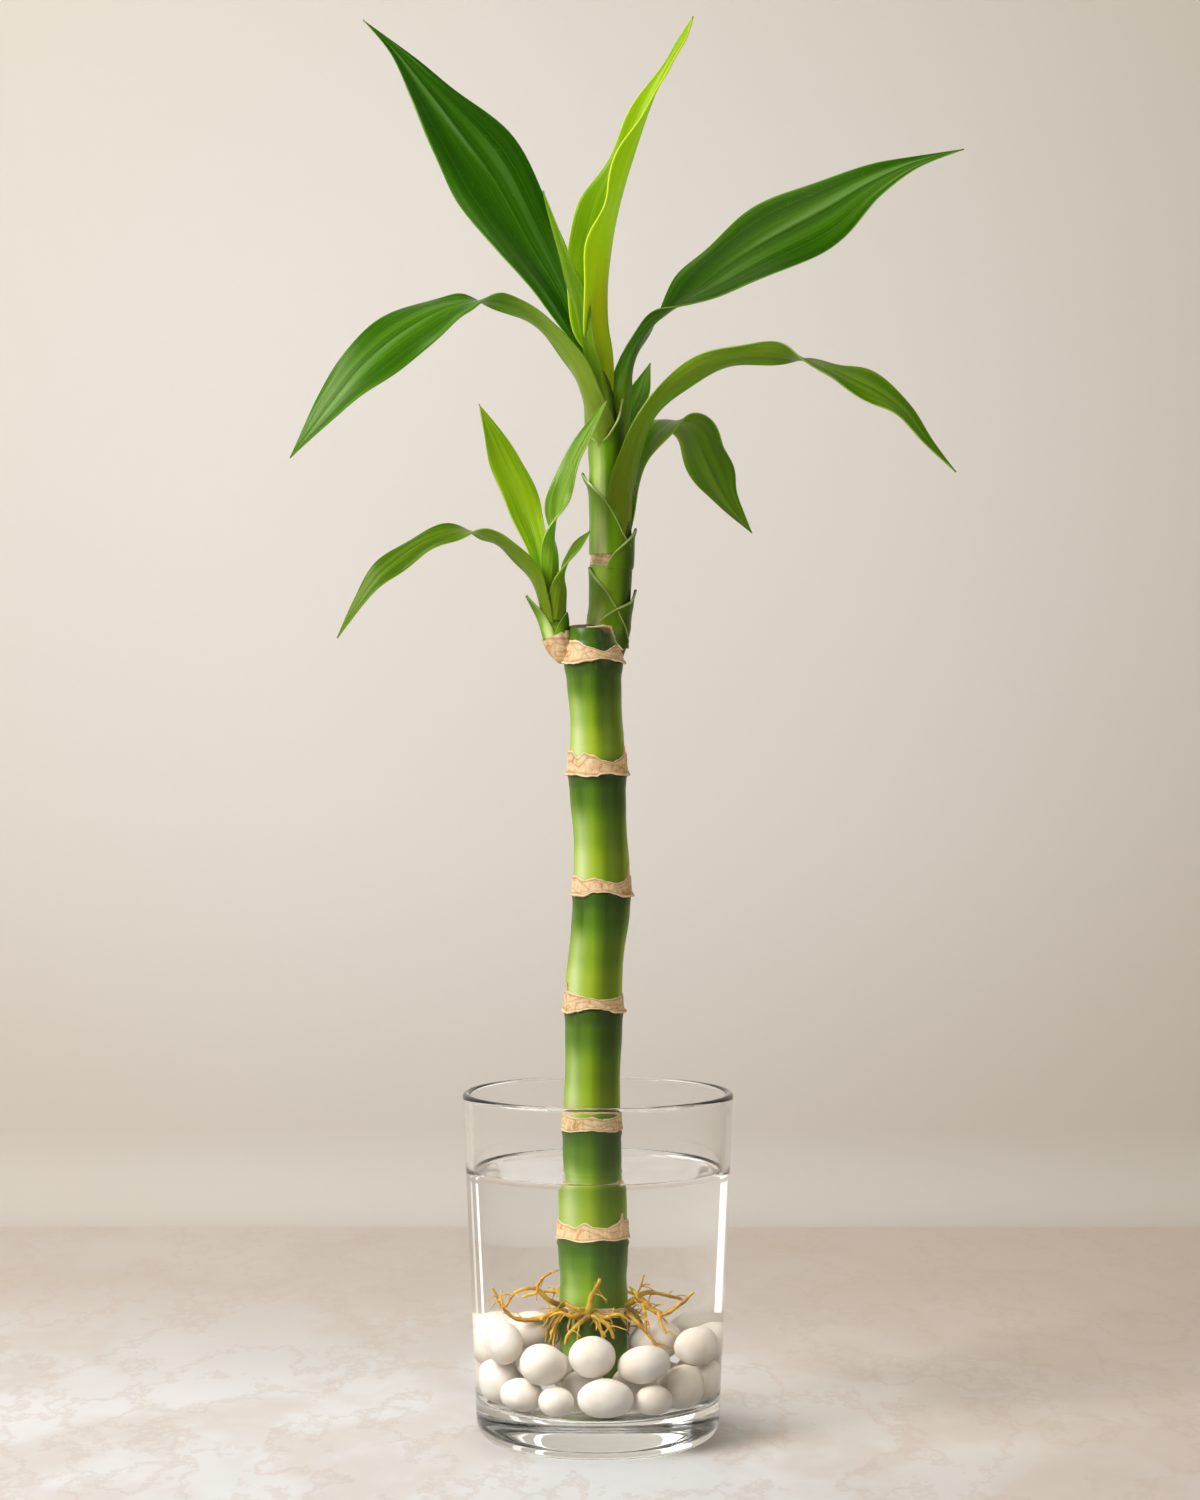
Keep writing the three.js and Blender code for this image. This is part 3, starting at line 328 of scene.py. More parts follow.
def spin_section(name, section):
    """Draws half a section of [radius, height] points and spins it round the middle."""
    let_go()
    bpy.ops.mesh.primitive_circle_add(vertices=3, radius=0.001, location=(0, 0, 0))
    piece = named(name)
    open_up()
    bpy.ops.mesh.merge(type="CENTER")
    bpy.ops.transform.translate(value=(section[0][0] * MM, 0, section[0][1] * MM))
    for (r0, z0), (r1, z1) in zip(section, section[1:]):
        step = ((r1 - r0) * MM, 0, (z1 - z0) * MM)
        bpy.ops.mesh.extrude_vertices_move(TRANSFORM_OT_translate={"value": step})
    bpy.ops.mesh.select_all(action="SELECT")
    bpy.ops.mesh.spin(steps=ROUND_STEPS, angle=radians(360), center=(0, 0, 0), axis=(0, 0, 1))
    close_up(piece)
    bpy.ops.object.shade_smooth()
    return piece


def close_up(piece):
    """Welds the seams and poles of a piece and points every face outwards."""
    take(piece)
    open_up()
    bpy.ops.mesh.remove_doubles(threshold=WELD)
    bpy.ops.mesh.normals_make_consistent(inside=False)
    bpy.ops.object.mode_set(mode="OBJECT")


def clear_finish(name, tint, foot, index, shadow):
    """Clear stuff that bends light; only its shadow is worked out more simply."""
    clear = Finish(name)
    low = clear.axes(clear.place())[2]
    tone = clear.coat(tint, (low.between(0.0135, 0.006), foot))
    body = clear.skin(Base_Color=tone, Roughness=0.0, IOR=index, Transmission_Weight=1.0,
                      Specular_Tint=(0.18, 0.18, 0.18, 1))
    pale = clear.node("BsdfTransparent", {"Color": shadow})
    in_shadow = clear.node("LightPath", out="Is Shadow Ray")
    return clear.show(clear.node("MixShader", {0: in_shadow, 1: body, 2: pale}))


lip = GLASS["wall"] / 2
rim_curve = [(GLASS["rim"] - lip + lip * cos(a), GLASS["height"] - lip + lip * sin(a))
             for a in map(radians, range(0, 181, 20))]
floor, heel_top = GLASS["floor"], GLASS["floor"] + GLASS["inner_heel"]
inner_heel = bend((inner_radius(heel_top), heel_top), (inner_radius(floor), floor),
                  (inner_radius(floor) - GLASS["inner_heel"], floor), 6)
tumbler = spin_section("clear_tumbler", [
    (0, 1.3), (12, 1.2), (22, 0.8), (29, 0.2), (31, 0.0), (33.5, 0.0),
    *bend((34.5, 0.0), (GLASS["base"] - 0.1, 0.2), (outer_radius(GLASS["heel"]), GLASS["heel"]), 8),
    *[(outer_radius(z), z) for z in (8, 20, 40, 60, 80, 100, 108, 110.4)],
    *rim_curve,
    *[(inner_radius(z), z) for z in (110.4, 108, 100, 80, 60, 40, 25, 17)],
    *inner_heel, (24, floor), (12, floor), (0, floor)])
tumbler.data.materials.append(clear_finish(
    "clear_glass", (0.99, 0.995, 0.992, 1), (0.9, 0.94, 0.915, 1), 1.45, (0.74, 0.725, 0.7, 1)))
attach(tumbler, "root")
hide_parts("tumbler")


# ---------- water ----------
# Clear water up to about three quarters of the glass. Its skin creeps up the glass and up the
# cane, and its side lies a hair inside the glass so that no air shows between them.
WATER_LEVEL, WATER_CREEP, CANE_CREEP = 87.0, 1.3, 1.0
HAIR = 0.1
CANE_AT_WATER, CANE_EDGE = -1.75, 9.1  # the cane's middle and radius at the water's level


def water_skin(from_wall):
    return WATER_LEVEL + WATER_CREEP * exp(-from_wall)


water = spin_section("still_water", [
    (0, floor - HAIR), (20, floor - HAIR), *[(r + HAIR, z - HAIR) for r, z in inner_heel[::-1]],
    *[(inner_radius(z) + HAIR, z) for z in (25, 40, 60, 80, 86)],
    (inner_radius(88) + HAIR, water_skin(0)),
    *[(inner_radius(88) - d, water_skin(d)) for d in (0.3, 0.7, 1.2, 1.8, 2.6, 4, 6, 10)],
    *[(r, WATER_LEVEL) for r in (26, 22, 18, 15, 13.5, 12.5, 11.7, 11, 10.4, 9.8, 9.2, 8, 6, 3, 0)]])
for point in water.data.vertices:
    if point.co.z > (WATER_LEVEL - 0.2) * MM:
        from_lit_spot = hypot(point.co.x / MM - CANE_AT_WATER, point.co.y / MM) - CANE_EDGE
        point.co.z += MM * CANE_CREEP * exp(-max(from_lit_spot, 0) / 0.9)
water.data.materials.append(clear_finish(
    "clear_water", (0.995, 0.997, 0.995, 1), (0.97, 0.985, 0.975, 1), 1.2, (0.98, 0.98, 0.975, 1)))
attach(water, "root")
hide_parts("water")


# ---------- pebbles ----------
# Tumbled off-white stones, each its own egg, that lie where they have rolled. Each starts from
# the plain solid one, is smoothed, and gets the soft unevenness of a worn stone.
def pebble_finish():
    stone = Finish("white_pebble")
    cloud = stone.grain(0.009, detail=3)
    speck = stone.grain(0.0012, detail=4, roughness=0.7)
    tone = stone.coat(
        seen(231, 224, 215), (cloud.between(0.35, 0.7), 218, 207, 193),
        (speck.between(0.6, 0.75) * 0.35, 192, 178, 160))
    return stone.show(stone.skin(
        Base_Color=tone, Roughness=0.6 + 0.2 * cloud, Specular_IOR_Level=0.25, Subsurface_Weight=0.2,
        Subsurface_Radius=(1.0, 0.8, 0.6), Subsurface_Scale=0.002,
        Normal=stone.bump(speck, 0.00025, 0.5)))


SWELL_OUT = 1.045  # makes up for what the smoothing takes off
white_pebble = pebble_finish()
for name in sorted(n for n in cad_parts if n.startswith("pebble_")):
    let_go()
    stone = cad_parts[name].copy()
    stone.data = stone.data.copy()
    scene.collection.objects.link(stone)
    for key in [k for k in stone.keys() if k.startswith("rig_")]:
        del stone[key]
    stone.parent = None
    stone.name = "stone_" + name[-2:]
    stone.hide_render = False
    take(stone)
    open_up()
    bpy.ops.mesh.remove_doubles(threshold=0.00005)
    bpy.ops.object.mode_set(mode="OBJECT")
    smooth = stone.modifiers.new("smooth", "SUBSURF")
    smooth.levels = smooth.render_levels = 2
    bpy.ops.object.modifier_apply(modifier="smooth")
    low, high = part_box(name)
    heart = (low + high) / 2
    number = int(name[-2:])
    for point in stone.data.vertices:
        out = (point.co - heart) * SWELL_OUT
        swell = noise.noise(point.co * 95 + Vector((number, 0, 0))) * 0.05
        swell += noise.noise(point.co * 240 + Vector((0, number, 0))) * 0.015
        point.co = heart + out * (1 + min(swell, 0.02))
    bpy.ops.object.shade_smooth()
    stone.data.materials.clear()
    stone.data.materials.append(white_pebble)
    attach(stone, "root")
    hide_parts(name)


# ---------- cane ----------
# A living green cane as thick as a thumb, swollen under each ring and slimmer below it, its cut
# top healed brown. It is drawn up loop by loop from its foot in the pebbles.
RINGS = {  # height of the middle, width of the band, the cane's bow, its radius below
    1: (256.6, 5.6, -1.5, 8.55), 2: (220.4, 6.4, -0.2, 8.9), 3: (180.2, 5.4, 1.2, 9.15),
    4: (142.2, 5.2, -1.4, 8.95), 5: (102.3, 4.6, -2, 9.2), 6: (68, 5.2, -1.4, 9),
    7: (42.4, 4.4, -1.2, 9),
}
RING_SEAT = 9.3
SHOULDER = 9.95
CANE_FOOT, FOOT_BOW = 12.3, -1.2
CUT_TOP, CUT_BOW = 265.2, -2.0
TILT = 0.11  # how much the cut top falls towards the front


def along(table, z):
    """A smooth value at z from a table of (z, value) rows, lowest first."""
    for (z0, a), (z1, b) in zip(table, table[1:]):
        if z <= z1:
            share = min(max((z - z0) / (z1 - z0), 0), 1)
            return a + (b - a) * share ** 3 * (share * (6 * share - 15) + 10)
    return table[-1][1]


def follow(rows, share):
    """A smooth row of values at a share of the way along rows of values."""
    where = share * (len(rows) - 1)
    k = min(int(where), len(rows) - 2)
    s = where - k
    near = (rows[min(max(i, 0), len(rows) - 1)] for i in range(k - 1, k + 3))
    return [start + 0.5 * s * (end - before + s * (
        2 * before - 5 * start + 4 * end - after + s * (3 * (start - end) + after - before)))
        for before, start, end, after in zip(*near)]


def round_at(x, y, z, r, turn):
    """The point at an angle from the front, r away from the middle."""
    angle = radians(turn)
    return x + r * sin(angle), y - r * cos(angle), z


def off_by(turn, at):
    """How far one angle lies from another, the short way round."""
    return (turn - at + 180) % 360 - 180


BOW = [(CANE_FOOT, FOOT_BOW), *[(z, bow) for z, _, bow, _ in reversed(RINGS.values())],
       (CUT_TOP, CUT_BOW)]


def cane_table():
    """Rows of (height, radius, share of the way up between two rings)."""
    rows = [(CANE_FOOT, 8.2, 0.1), (13.3, 8.9, 0.12), (24, 9.0, 0.4), (40.2, 9.2, 0.98)]
    for number in range(6, 0, -1):
        z, band, _, slim = RINGS[number]
        under_z, under_band, _, _ = RINGS[number + 1]
        foot, top = under_z + under_band / 2, z - band / 2
        pale = 0.35 if number == 6 else 0
        rows += [
            (foot - 0.4, RING_SEAT, pale), (foot + 3.5, min(slim + 0.3, RING_SEAT), 0.06 + pale),
            (foot + 0.4 * (top - foot), slim, 0.38 + 0.6 * pale), (top - 6, slim + 0.4, 0.78),
            (top - 2.5, SHOULDER - 0.4, 0.93), (top - 0.5, SHOULDER, 0.99), (top + 0.4, RING_SEAT, 1)]
    neck = RINGS[1][0] + RINGS[1][1] / 2
    return rows + [
        (neck - 1.6, 8.9, 0.9), (neck + 0.6, 8.05, 0.8), (264.0, 7.75, 0.9), (CUT_TOP, 7.4, 1)]


def tube(name, sides, rows, shape):
    """A ring of points drawn up row by row, each then set by shape(angle from the front, row)."""
    let_go()
    bpy.ops.mesh.primitive_circle_add(vertices=sides, radius=1, location=(0, 0, 0))
    piece = named(name)
    open_up()
    for _ in range(rows):
        bpy.ops.mesh.extrude_region_move(TRANSFORM_OT_translate={"value": (0, 0, 1)})
    bpy.ops.object.mode_set(mode="OBJECT")
    for point in piece.data.vertices:
        turn = degrees(atan2(point.co.x, -point.co.y))
        point.co = Vector(shape(turn, round(point.co.z))) * MM
    return piece


def join(pieces, name):
    let_go()
    for piece in pieces:
        piece.select_set(True)
    bpy.context.view_layer.objects.active = pieces[0]
    bpy.ops.object.join()
    return named(name)


def mark(piece, name, value):
    """Gives every point a number of its own, from its place in millimetres."""
    marks = piece.data.attributes.new(name, "FLOAT", "POINT")
    for point, one in zip(piece.data.vertices, marks.data):
        one.value = value(point.co / MM)


table = cane_table()
girth = [(z, r) for z, r, _ in table]
height_share = [(z, share) for z, _, share in table]
cane_heights = [CANE_FOOT + 1.5 * k for k in range(168)] + [264.4, 264.9, CUT_TOP]
cane_rows = [(CANE_FOOT, 0), *[(z, along(girth, z)) for z in cane_heights]]
cane_rows += [(265.2, 6.9), (265.0, 6.3), (264.8, 4.5), (264.7, 2.0), (264.7, 0.0)]


def cane_point(turn, row):
    z, r = cane_rows[row]
    angle = radians(turn)
    share = along(height_share, z)
    groove = exp(-off_by(turn, -52 - 8 * sin(z / 40)) ** 2 / 160)
    ripple = 0.10 * cos(2 * angle + z / 30) + 0.04 * cos(7 * angle + z / 9)
    if r > 5:
        r += ripple * (1 - abs(2 * share - 1) ** 3) - 0.16 * groove * (0.3 < share < 0.97)
    high = min(max((z - 257) / 8, 0), 1)
    right = 1 - 0.2 * high if sin(angle) > 0 else 1
    return (along(BOW, z) + r * right * sin(angle), -r * cos(angle),
            z - TILT * high * (0.5 + r * cos(angle)))


def cane_turn(p):
    return degrees(atan2(p.x - along(BOW, p.z), -p.y))


# Painted shade: broad darker stripes up the cane; the one at the front right stands for the side turned
# from the lamp, the others repeat it round the cane.
PAINTED_SHADE_STRIPES = ((32, 34), (168, 30), (-118, 26))  # the dark stripes up the cane: angle and half width
# Where a pale painted highlight runs up the left front of the cane: angle and half width.
PAINTED_HIGHLIGHT_ANGLE = (-46, 17)
cane = tube("green_cane", 96, len(cane_rows) - 1, cane_point)
close_up(cane)
bpy.ops.object.shade_smooth()
mark(cane, "climb", lambda p: along(height_share, p.z))
mark(cane, "shade", lambda p: max(
    exp(-(off_by(cane_turn(p), at) / wide) ** 2) for at, wide in PAINTED_SHADE_STRIPES))
mark(cane, "gleam", lambda p: exp(-((cane_turn(p) - PAINTED_HIGHLIGHT_ANGLE[0]) / PAINTED_HIGHLIGHT_ANGLE[1]) ** 2))
mark(cane, "cut", lambda p: float(p.z - TILT * p.y > 264 and hypot(p.x - CUT_BOW, p.y) < 7.15))


def cane_finish():
    bark = Finish("green_cane_skin")
    climb, cut = bark.attribute("climb"), bark.attribute("cut")
    streak = bark.grain(0.0016, (1, 1, 0.05), detail=4, roughness=0.6)
    band = bark.grain(0.011, (1, 1, 0.3), detail=2)
    broad = bark.grain(0.0042, (1, 1, 0.025), detail=3)
    rough = bark.grain(0.0006, (1, 1, 0.25), detail=4, roughness=0.7)
    spots = bark.grain(0.0011, (1, 1, 0.6), detail=2).between(0.70, 0.78)
    sway = climb + 0.22 * (band - 0.5) + 0.4 * (broad - 0.5) + 0.05 * (streak - 0.5)
    light = bark.ramp(
        sway, (0.0, 166, 192, 44), (0.3, 142, 174, 24), (0.5, 120, 156, 14), (0.7, 92, 130, 6),
        (0.9, 66, 100, 3), (1.0, 58, 90, 3))
    # A darker copy of the greens, laid on along the stripes as painted shade.
    shaded_green = bark.ramp(
        sway, (0.0, 112, 138, 10), (0.3, 92, 118, 4), (0.5, 74, 104, 2), (0.7, 58, 88, 1),
        (0.9, 42, 70, 1), (1.0, 38, 64, 1))
    shade = (bark.attribute("shade") + 0.5 * (band - 0.5) + 0.7 * (broad - 0.5)).between(0.05, 0.95)
    # Painted highlight: pale on the left front, strongest low in each internode.
    gleam = bark.attribute("gleam") * sway.between(0.9, 0.0) * (0.4 + 0.6 * broad)
    # Painted shade: the cane is darker from just above the tumbler's rim down, where it is seen through
    # the glass.
    inside_glass_shade = bark.axes(bark.place())[2].between(0.116, 0.104)
    tone = bark.coat(
        light, (shade, shaded_green), (streak.between(0.5, 0.85) * 0.2, 150, 180, 50),
        (gleam, 214, 226, 170), (inside_glass_shade * 0.2, 56, 90, 0), (spots * 0.3, 150, 120, 60),
        (cut, bark.coat(seen(122, 88, 44), (rough, 176, 142, 92))))
    return bark.show(bark.skin(
        Base_Color=tone, Roughness=0.32 + 0.12 * streak + 0.4 * cut,
        Specular_IOR_Level=0.34, Subsurface_Weight=0.12, Subsurface_Radius=(0.4, 1.0, 0.2),
        Subsurface_Scale=0.002, Normal=bark.bump(0.7 * streak + 0.3 * rough, 0.00010, 0.5)))


cane.data.materials.append(cane_finish())
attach(cane, "root")
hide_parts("cane")


# ---------- dried rings ----------
# At each joint the foot of an old leaf has dried to a papery tan band with a torn upper edge
# and thin curled points. Each is a drawn-up band, given its paper thickness.
EDGES = {  # upper and lower edge as (angle from the front, height), negative to the left
    1: ([(-90, 260.6), (-40, 260.3), (-10, 258.3), (22.6, 256.7), (54.5, 258.8), (90, 256.9),
         (150, 259.6)],
        [(-90, 253.3), (-42.5, 252.5), (-6.5, 253.8), (16.5, 254.4), (45.7, 253.8), (78, 252.6),
         (160, 253.2)]),
    2: ([(-110, 224.6), (-61, 224.3), (-42, 222.1), (-27.5, 224), (-7.7, 222.9), (11, 221.3),
         (28, 220.7), (47.8, 221.6), (58, 222.6), (65.5, 223.4), (69, 227), (73, 223.8), (84, 223.6),
         (120, 223.4), (170, 224.8)],
        [(-90, 216.3), (-43, 216.5), (-19, 215.9), (0, 215.9), (5, 216.9), (24, 217.1), (48, 216.5),
         (90, 216.3), (170, 216.9)]),
    3: ([(-61, 183.45), (-40, 182.2), (-24, 182.6), (-14, 183.1), (-3, 182.6), (12, 181.8),
         (32.5, 181.3), (51, 181.9), (58, 182.8), (62.5, 183.4), (66, 187.2), (70, 183.6), (110, 183.2),
         (165, 184)],
        [(-90, 176.9), (-60, 177.2), (-36.5, 177.1), (-12.5, 178.3), (9, 178.4), (25.5, 177.8),
         (44, 176.8), (90, 176.7), (170, 177.2)]),
    4: ([(-110, 145.6), (-76, 145.8), (-72, 146), (-68, 149.8), (-64, 145.8), (-42, 145.1), (-20, 144.5),
         (-4, 143.9), (15, 143.3), (36.5, 143.5), (78, 144.3), (130, 146.2)],
        [(-90, 139.7), (-57, 138.7), (-30.6, 139.6), (-10, 140.5), (8.8, 140.5), (25.5, 139.95),
         (44.8, 139), (90, 138.6), (170, 139.4)]),
    5: ([(-95, 105.8), (-73, 105.4), (-68.5, 108.6), (-64, 105.6), (-30, 105), (0, 105.4), (25, 104.6),
         (60, 105.2), (64.5, 108.6), (69, 105.4), (130, 106.2)],
        [(-90, 100.6), (-45, 100.2), (-15, 101), (10, 100.9), (40, 100.3), (90, 100.4), (170, 100.9)]),
    6: ([(-90, 72.4), (-50, 71.2), (-32, 70.4), (-15, 72.2), (3, 70.8), (24, 70.5), (44, 71.6),
         (53, 72.4), (57.5, 75), (62, 72.4), (110, 72.2)],
        [(-90, 66.2), (-55, 66.6), (-15, 65.9), (14, 66.7), (40, 66.2), (66, 66.4), (150, 66.2)]),
}
BAND_ROWS = 9


def round_edge(table, turn):
    """The height of an edge at an angle, going round."""
    points = [(a + round_trip, z) for round_trip in (-360, 0, 360) for a, z in table]
    for (a0, z0), (a1, z1) in zip(points, points[1:]):
        if a0 <= turn <= a1:
            share = (turn - a0) / (a1 - a0)
            return z0 + (z1 - z0) * (share if abs(a1 - a0) < 12 else share * share * (3 - 2 * share))
    return points[-1][1]


def uneven(turn, pace, height):
    """Noise round a ring; a higher pace makes it change faster."""
    angle = radians(turn)
    return noise.noise(Vector((cos(angle) * pace, sin(angle) * pace, height)))


def thicken(piece, wall, offset, behind=0):
    """Gives the sheet in hand its wall; behind is the step to the finish of its rear face."""
    sheet = piece.modifiers.new("wall", "SOLIDIFY")
    sheet.thickness, sheet.offset, sheet.material_offset = wall * MM, offset, behind
    bpy.ops.object.modifier_apply(modifier="wall")


def papery(piece):
    close_up(piece)
    thicken(piece, 0.45, -1)
    bpy.ops.object.shade_smooth_by_angle(angle=radians(50))


def torn_band(name, edges, middle, seat, flare, seed):
    """A papery band round a stem at middle (x, y) that is as wide as its table seat says."""
    upper, lower = edges

    def band_point(turn, row):
        share = row / BAND_ROWS
        low, high = round_edge(lower, turn), round_edge(upper, turn)
        fray = uneven(turn, 5, seed) * 0.35 + uneven(turn, 16, seed + 5) * 0.18
        z = low + (high - low) * share + fray * (abs(2 * share - 1) > 0.95) * 0.8
        crease = 0.14 * uneven(turn, 3.2, z / 2.6 + seed) + 0.1 * uneven(turn, 7, z / 1.2 + seed)
        r = along(seat, z) + 0.3 + crease + 0.35 * (1 - share) ** 0.7 + flare * (1 - share) ** 4
        tall = max(high - low - 7, 0)
        r += 0.3 * min(tall, 2) * max(share - 0.7, 0)
        return round_at(*middle, z, r, turn)

    def across(p):
        turn = degrees(atan2(p.x - middle[0], middle[1] - p.y))
        low, high = round_edge(lower, turn), round_edge(upper, turn)
        return (p.z - low) / (high - low)

    band = tube(name, 120, BAND_ROWS, band_point)
    mark(band, "across", across)
    papery(band)
    return band


def strands(name, ways):
    """Round strands that thin to their tips; ways gives the thickness and the points of each."""
    let_go()
    bpy.ops.curve.primitive_nurbs_path_add(location=(0, 0, 0))
    line = named(name).data
    line.dimensions, line.resolution_u = "3D", 1
    line.bevel_depth, line.bevel_resolution, line.use_fill_caps = MM, 3, True
    line.splines.clear()
    for thick, way in ways:
        steps = 9 * (len(way) - 1)
        spline = line.splines.new("POLY")
        spline.points.add(steps)
        for k, point in enumerate(spline.points):
            share = k / steps
            spot = Vector(follow(way, share))
            wander = Vector([noise.noise(spot * 0.35 + Vector((9 * i, 0, 0))) for i in range(3)])
            knot = 1 + 0.35 * noise.noise(spot * 0.9) + 0.2 * noise.noise(spot * 2.3)
            point.co = (*((spot + wander * 0.35 * share) * MM), 1)
            point.radius = thick * (1.2 - 0.8 * share ** 0.8) * knot
    bpy.ops.object.convert(target="MESH")
    bpy.ops.object.shade_smooth()
    return bpy.context.object


def dried_finish():
    paper = Finish("dried_sheath")
    across = paper.attribute("across")
    streak = paper.grain(0.0011, (1, 1, 0.3), detail=4, roughness=0.6)
    blotch = paper.grain(0.006, (1, 1, 0.8), detail=3)
    wave = paper.grain(0.008, (1, 1, 1.4), detail=2, roughness=0.5)
    contour = wave.math("PINGPONG", 5 * wave + 1.4 * across, 0.5)
    off = abs(across - 0.5) * 2
    tone = paper.coat(
        paper.ramp(streak, (0.25, 200, 156, 98), (0.45, 220, 184, 134), (0.7, 234, 206, 166)),
        (blotch.between(0.56, 0.74) * 0.6, 184, 134, 70),
        (contour.between(0.41, 0.49) * 0.6, 150, 100, 48),
        (contour.between(0.22, 0.04) * 0.4, 240, 216, 184),
        (off.between(0.6, 0.76) * 0.55, 174, 124, 64), (off.between(0.8, 0.92) * 0.7, 244, 224, 190))
    return paper.show(paper.skin(
        Base_Color=tone, Roughness=0.55 + 0.2 * streak, Specular_IOR_Level=0.3,
        Normal=paper.bump(0.4 * streak - 0.6 * contour, 0.0004, 0.7)))


dried_sheath = dried_finish()
for number, edges in EDGES.items():
    bow = RINGS[number][2]
    band = torn_band(f"dried_ring_{number}", edges, (bow, 0), girth, 0.3, 3.7 * number)
    if number == 1:
        rim = strands("dried_rim", [
            (0.5, [(4, -2.6, 264.7), (4.9, -1.7, 262), (5.8, -1.6, 259.8), (7.2, -3, 258),
                   (8.2, -3.6, 257)]),
            (0.4, [(4, -2.6, 264.7), (2.4, -5.4, 264.9), (-0.6, -7, 264.8), (-3.6, -7.2, 264.7)])])
        band = join([band, rim], "dried_ring_1")
    band.data.materials.append(dried_sheath)
    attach(band, "root")
    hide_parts(f"sheath_ring_{number}")


# ---------- shoot stems ----------
# Two soft green stems that left the cane under its top ring: the main one stands behind the cut
# top, the slim one at the left. Old leaf feet clasp them and end in points.
MAIN_STEM = [  # middle and radius, from the foot up
    (1.6, 9.4, 250.5, 2.4), (2.2, 10.6, 254.5, 5.2), (2.9, 11.3, 260, 6.7), (3.5, 11.6, 266, 6.8),
    (4.2, 11.5, 274, 6.6), (4.4, 11.3, 282, 6.9), (4.4, 11.2, 285.2, 6.9), (4.4, 11.2, 287.5, 6.2),
    (4.4, 11.2, 290, 6.4), (4.3, 11, 298, 6.6), (4.1, 11, 307, 6.1), (3.6, 11, 316, 5.6),
    (3, 11, 324, 5.2), (2.4, 11, 332, 4.9), (1.6, 11, 340, 4), (1.2, 11, 346, 2.8), (1, 11, 351, 0.8),
]
SIDE_STEM = [
    (-10.6, 0.4, 253.6, 1.6), (-12, 0.4, 256.5, 3.1), (-13.1, 0.4, 260, 3.9), (-14, 0.3, 264, 3.9),
    (-15, 0, 270, 3.4), (-15.8, 0, 277, 2.7), (-16.4, 0.2, 284, 2.1), (-16.8, 0.6, 290, 1.4),
    (-17, 0.8, 294, 0.5),
]


def stem(name, rows):
    last = 6 * len(rows)

    def stem_point(turn, row):
        x, y, z, r = follow(rows, min(max(row - 1, 0), last - 2) / (last - 2))
        return round_at(x, y, z, 0 if row in (0, last) else r, turn)

    piece = tube(name, 48, last, stem_point)
    close_up(piece)
    bpy.ops.object.shade_smooth()
    return piece


ACROSS = (0, 0.08, 0.24, 0.42, 0.6, 0.78, 0.92, 1)  # where a half blade's columns lie
TIP_WIDTH = 0.12


def blade(name, rows, crease, wave=0.0, seed=0, wall=0.55):
    """A blade along its midrib. Each row gives the middle (x, y, z), the half width, the way the
    upper face looks (x, y, z) and how far each half turns up in radians, sharply at the midrib
    where crease nears 1."""
    let_go()
    columns, last = 2 * (len(ACROSS) - 1), 7 * (len(rows) - 1)
    bpy.ops.mesh.primitive_grid_add(x_subdivisions=columns, y_subdivisions=last, size=1)
    piece = named(name)
    sections = []
    for k in range(last + 1):
        t = k / last
        x, y, z, half, face_x, face_y, face_z, turn = follow(rows, t)
        here, half = Vector((x, y, z)), max(half, TIP_WIDTH)
        before, after = (Vector(follow(rows, near)[:3]) for near in (max(t - 0.01, 0), min(t + 0.01, 1)))
        way = (after - before).normalized()
        face = Vector((face_x, face_y, face_z))
        face = (face - way * face.dot(way)).normalized()
        side = way.cross(face)
        swing, fade = t * len(rows), sin(pi * t)
        line = [here]
        for hand in (-1, 1):
            point, reached = here.copy(), []
            wobble = 1 + 0.04 * wave * sin(swing * 2.7 + hand * 2 + seed) * fade
            rise = min(half / 6, 1) * wave * sin(swing * 2.1 + hand * 1.3 + seed) * fade
            for a, b in zip(ACROSS, ACROSS[1:]):
                lean = turn * (crease + (1 - crease) * (a + b) / 2)
                span = half * wobble * (b - a)
                point = point + hand * side * cos(lean) * span + face * sin(lean) * span
                reached.append(point + face * (b ** 3 * rise))
            line = reached[::-1] + line if hand < 0 else line + reached
        sections.append(line)
    for point in piece.data.vertices:
        column = round((point.co.x + 0.5) * columns)
        point.co = sections[round((point.co.y + 0.5) * last)][column] * MM
    thicken(piece, wall, 0, behind=1)
    bpy.ops.object.shade_smooth()
    return piece


SIDE_TIPS = [
    [(-17.6, -1.4, 260.5, 4.8, 0.9, 0.4, 0, 0.95), (-19.6, -2, 267.4, 3.4, 0.85, 0.4, 0.3, 0.7),
     (-23.4, -2.8, 275, 0, 0.8, 0.4, 0.4, 0.3)],
    [(-11.6, -3.2, 260, 3.2, -0.6, 0.8, 0, 0.8), (-10.8, -3.4, 265.4, 2.2, -0.6, 0.8, 0, 0.6),
     (-10.2, -3.4, 269.6, 0, -0.6, 0.8, 0, 0.3)],
]


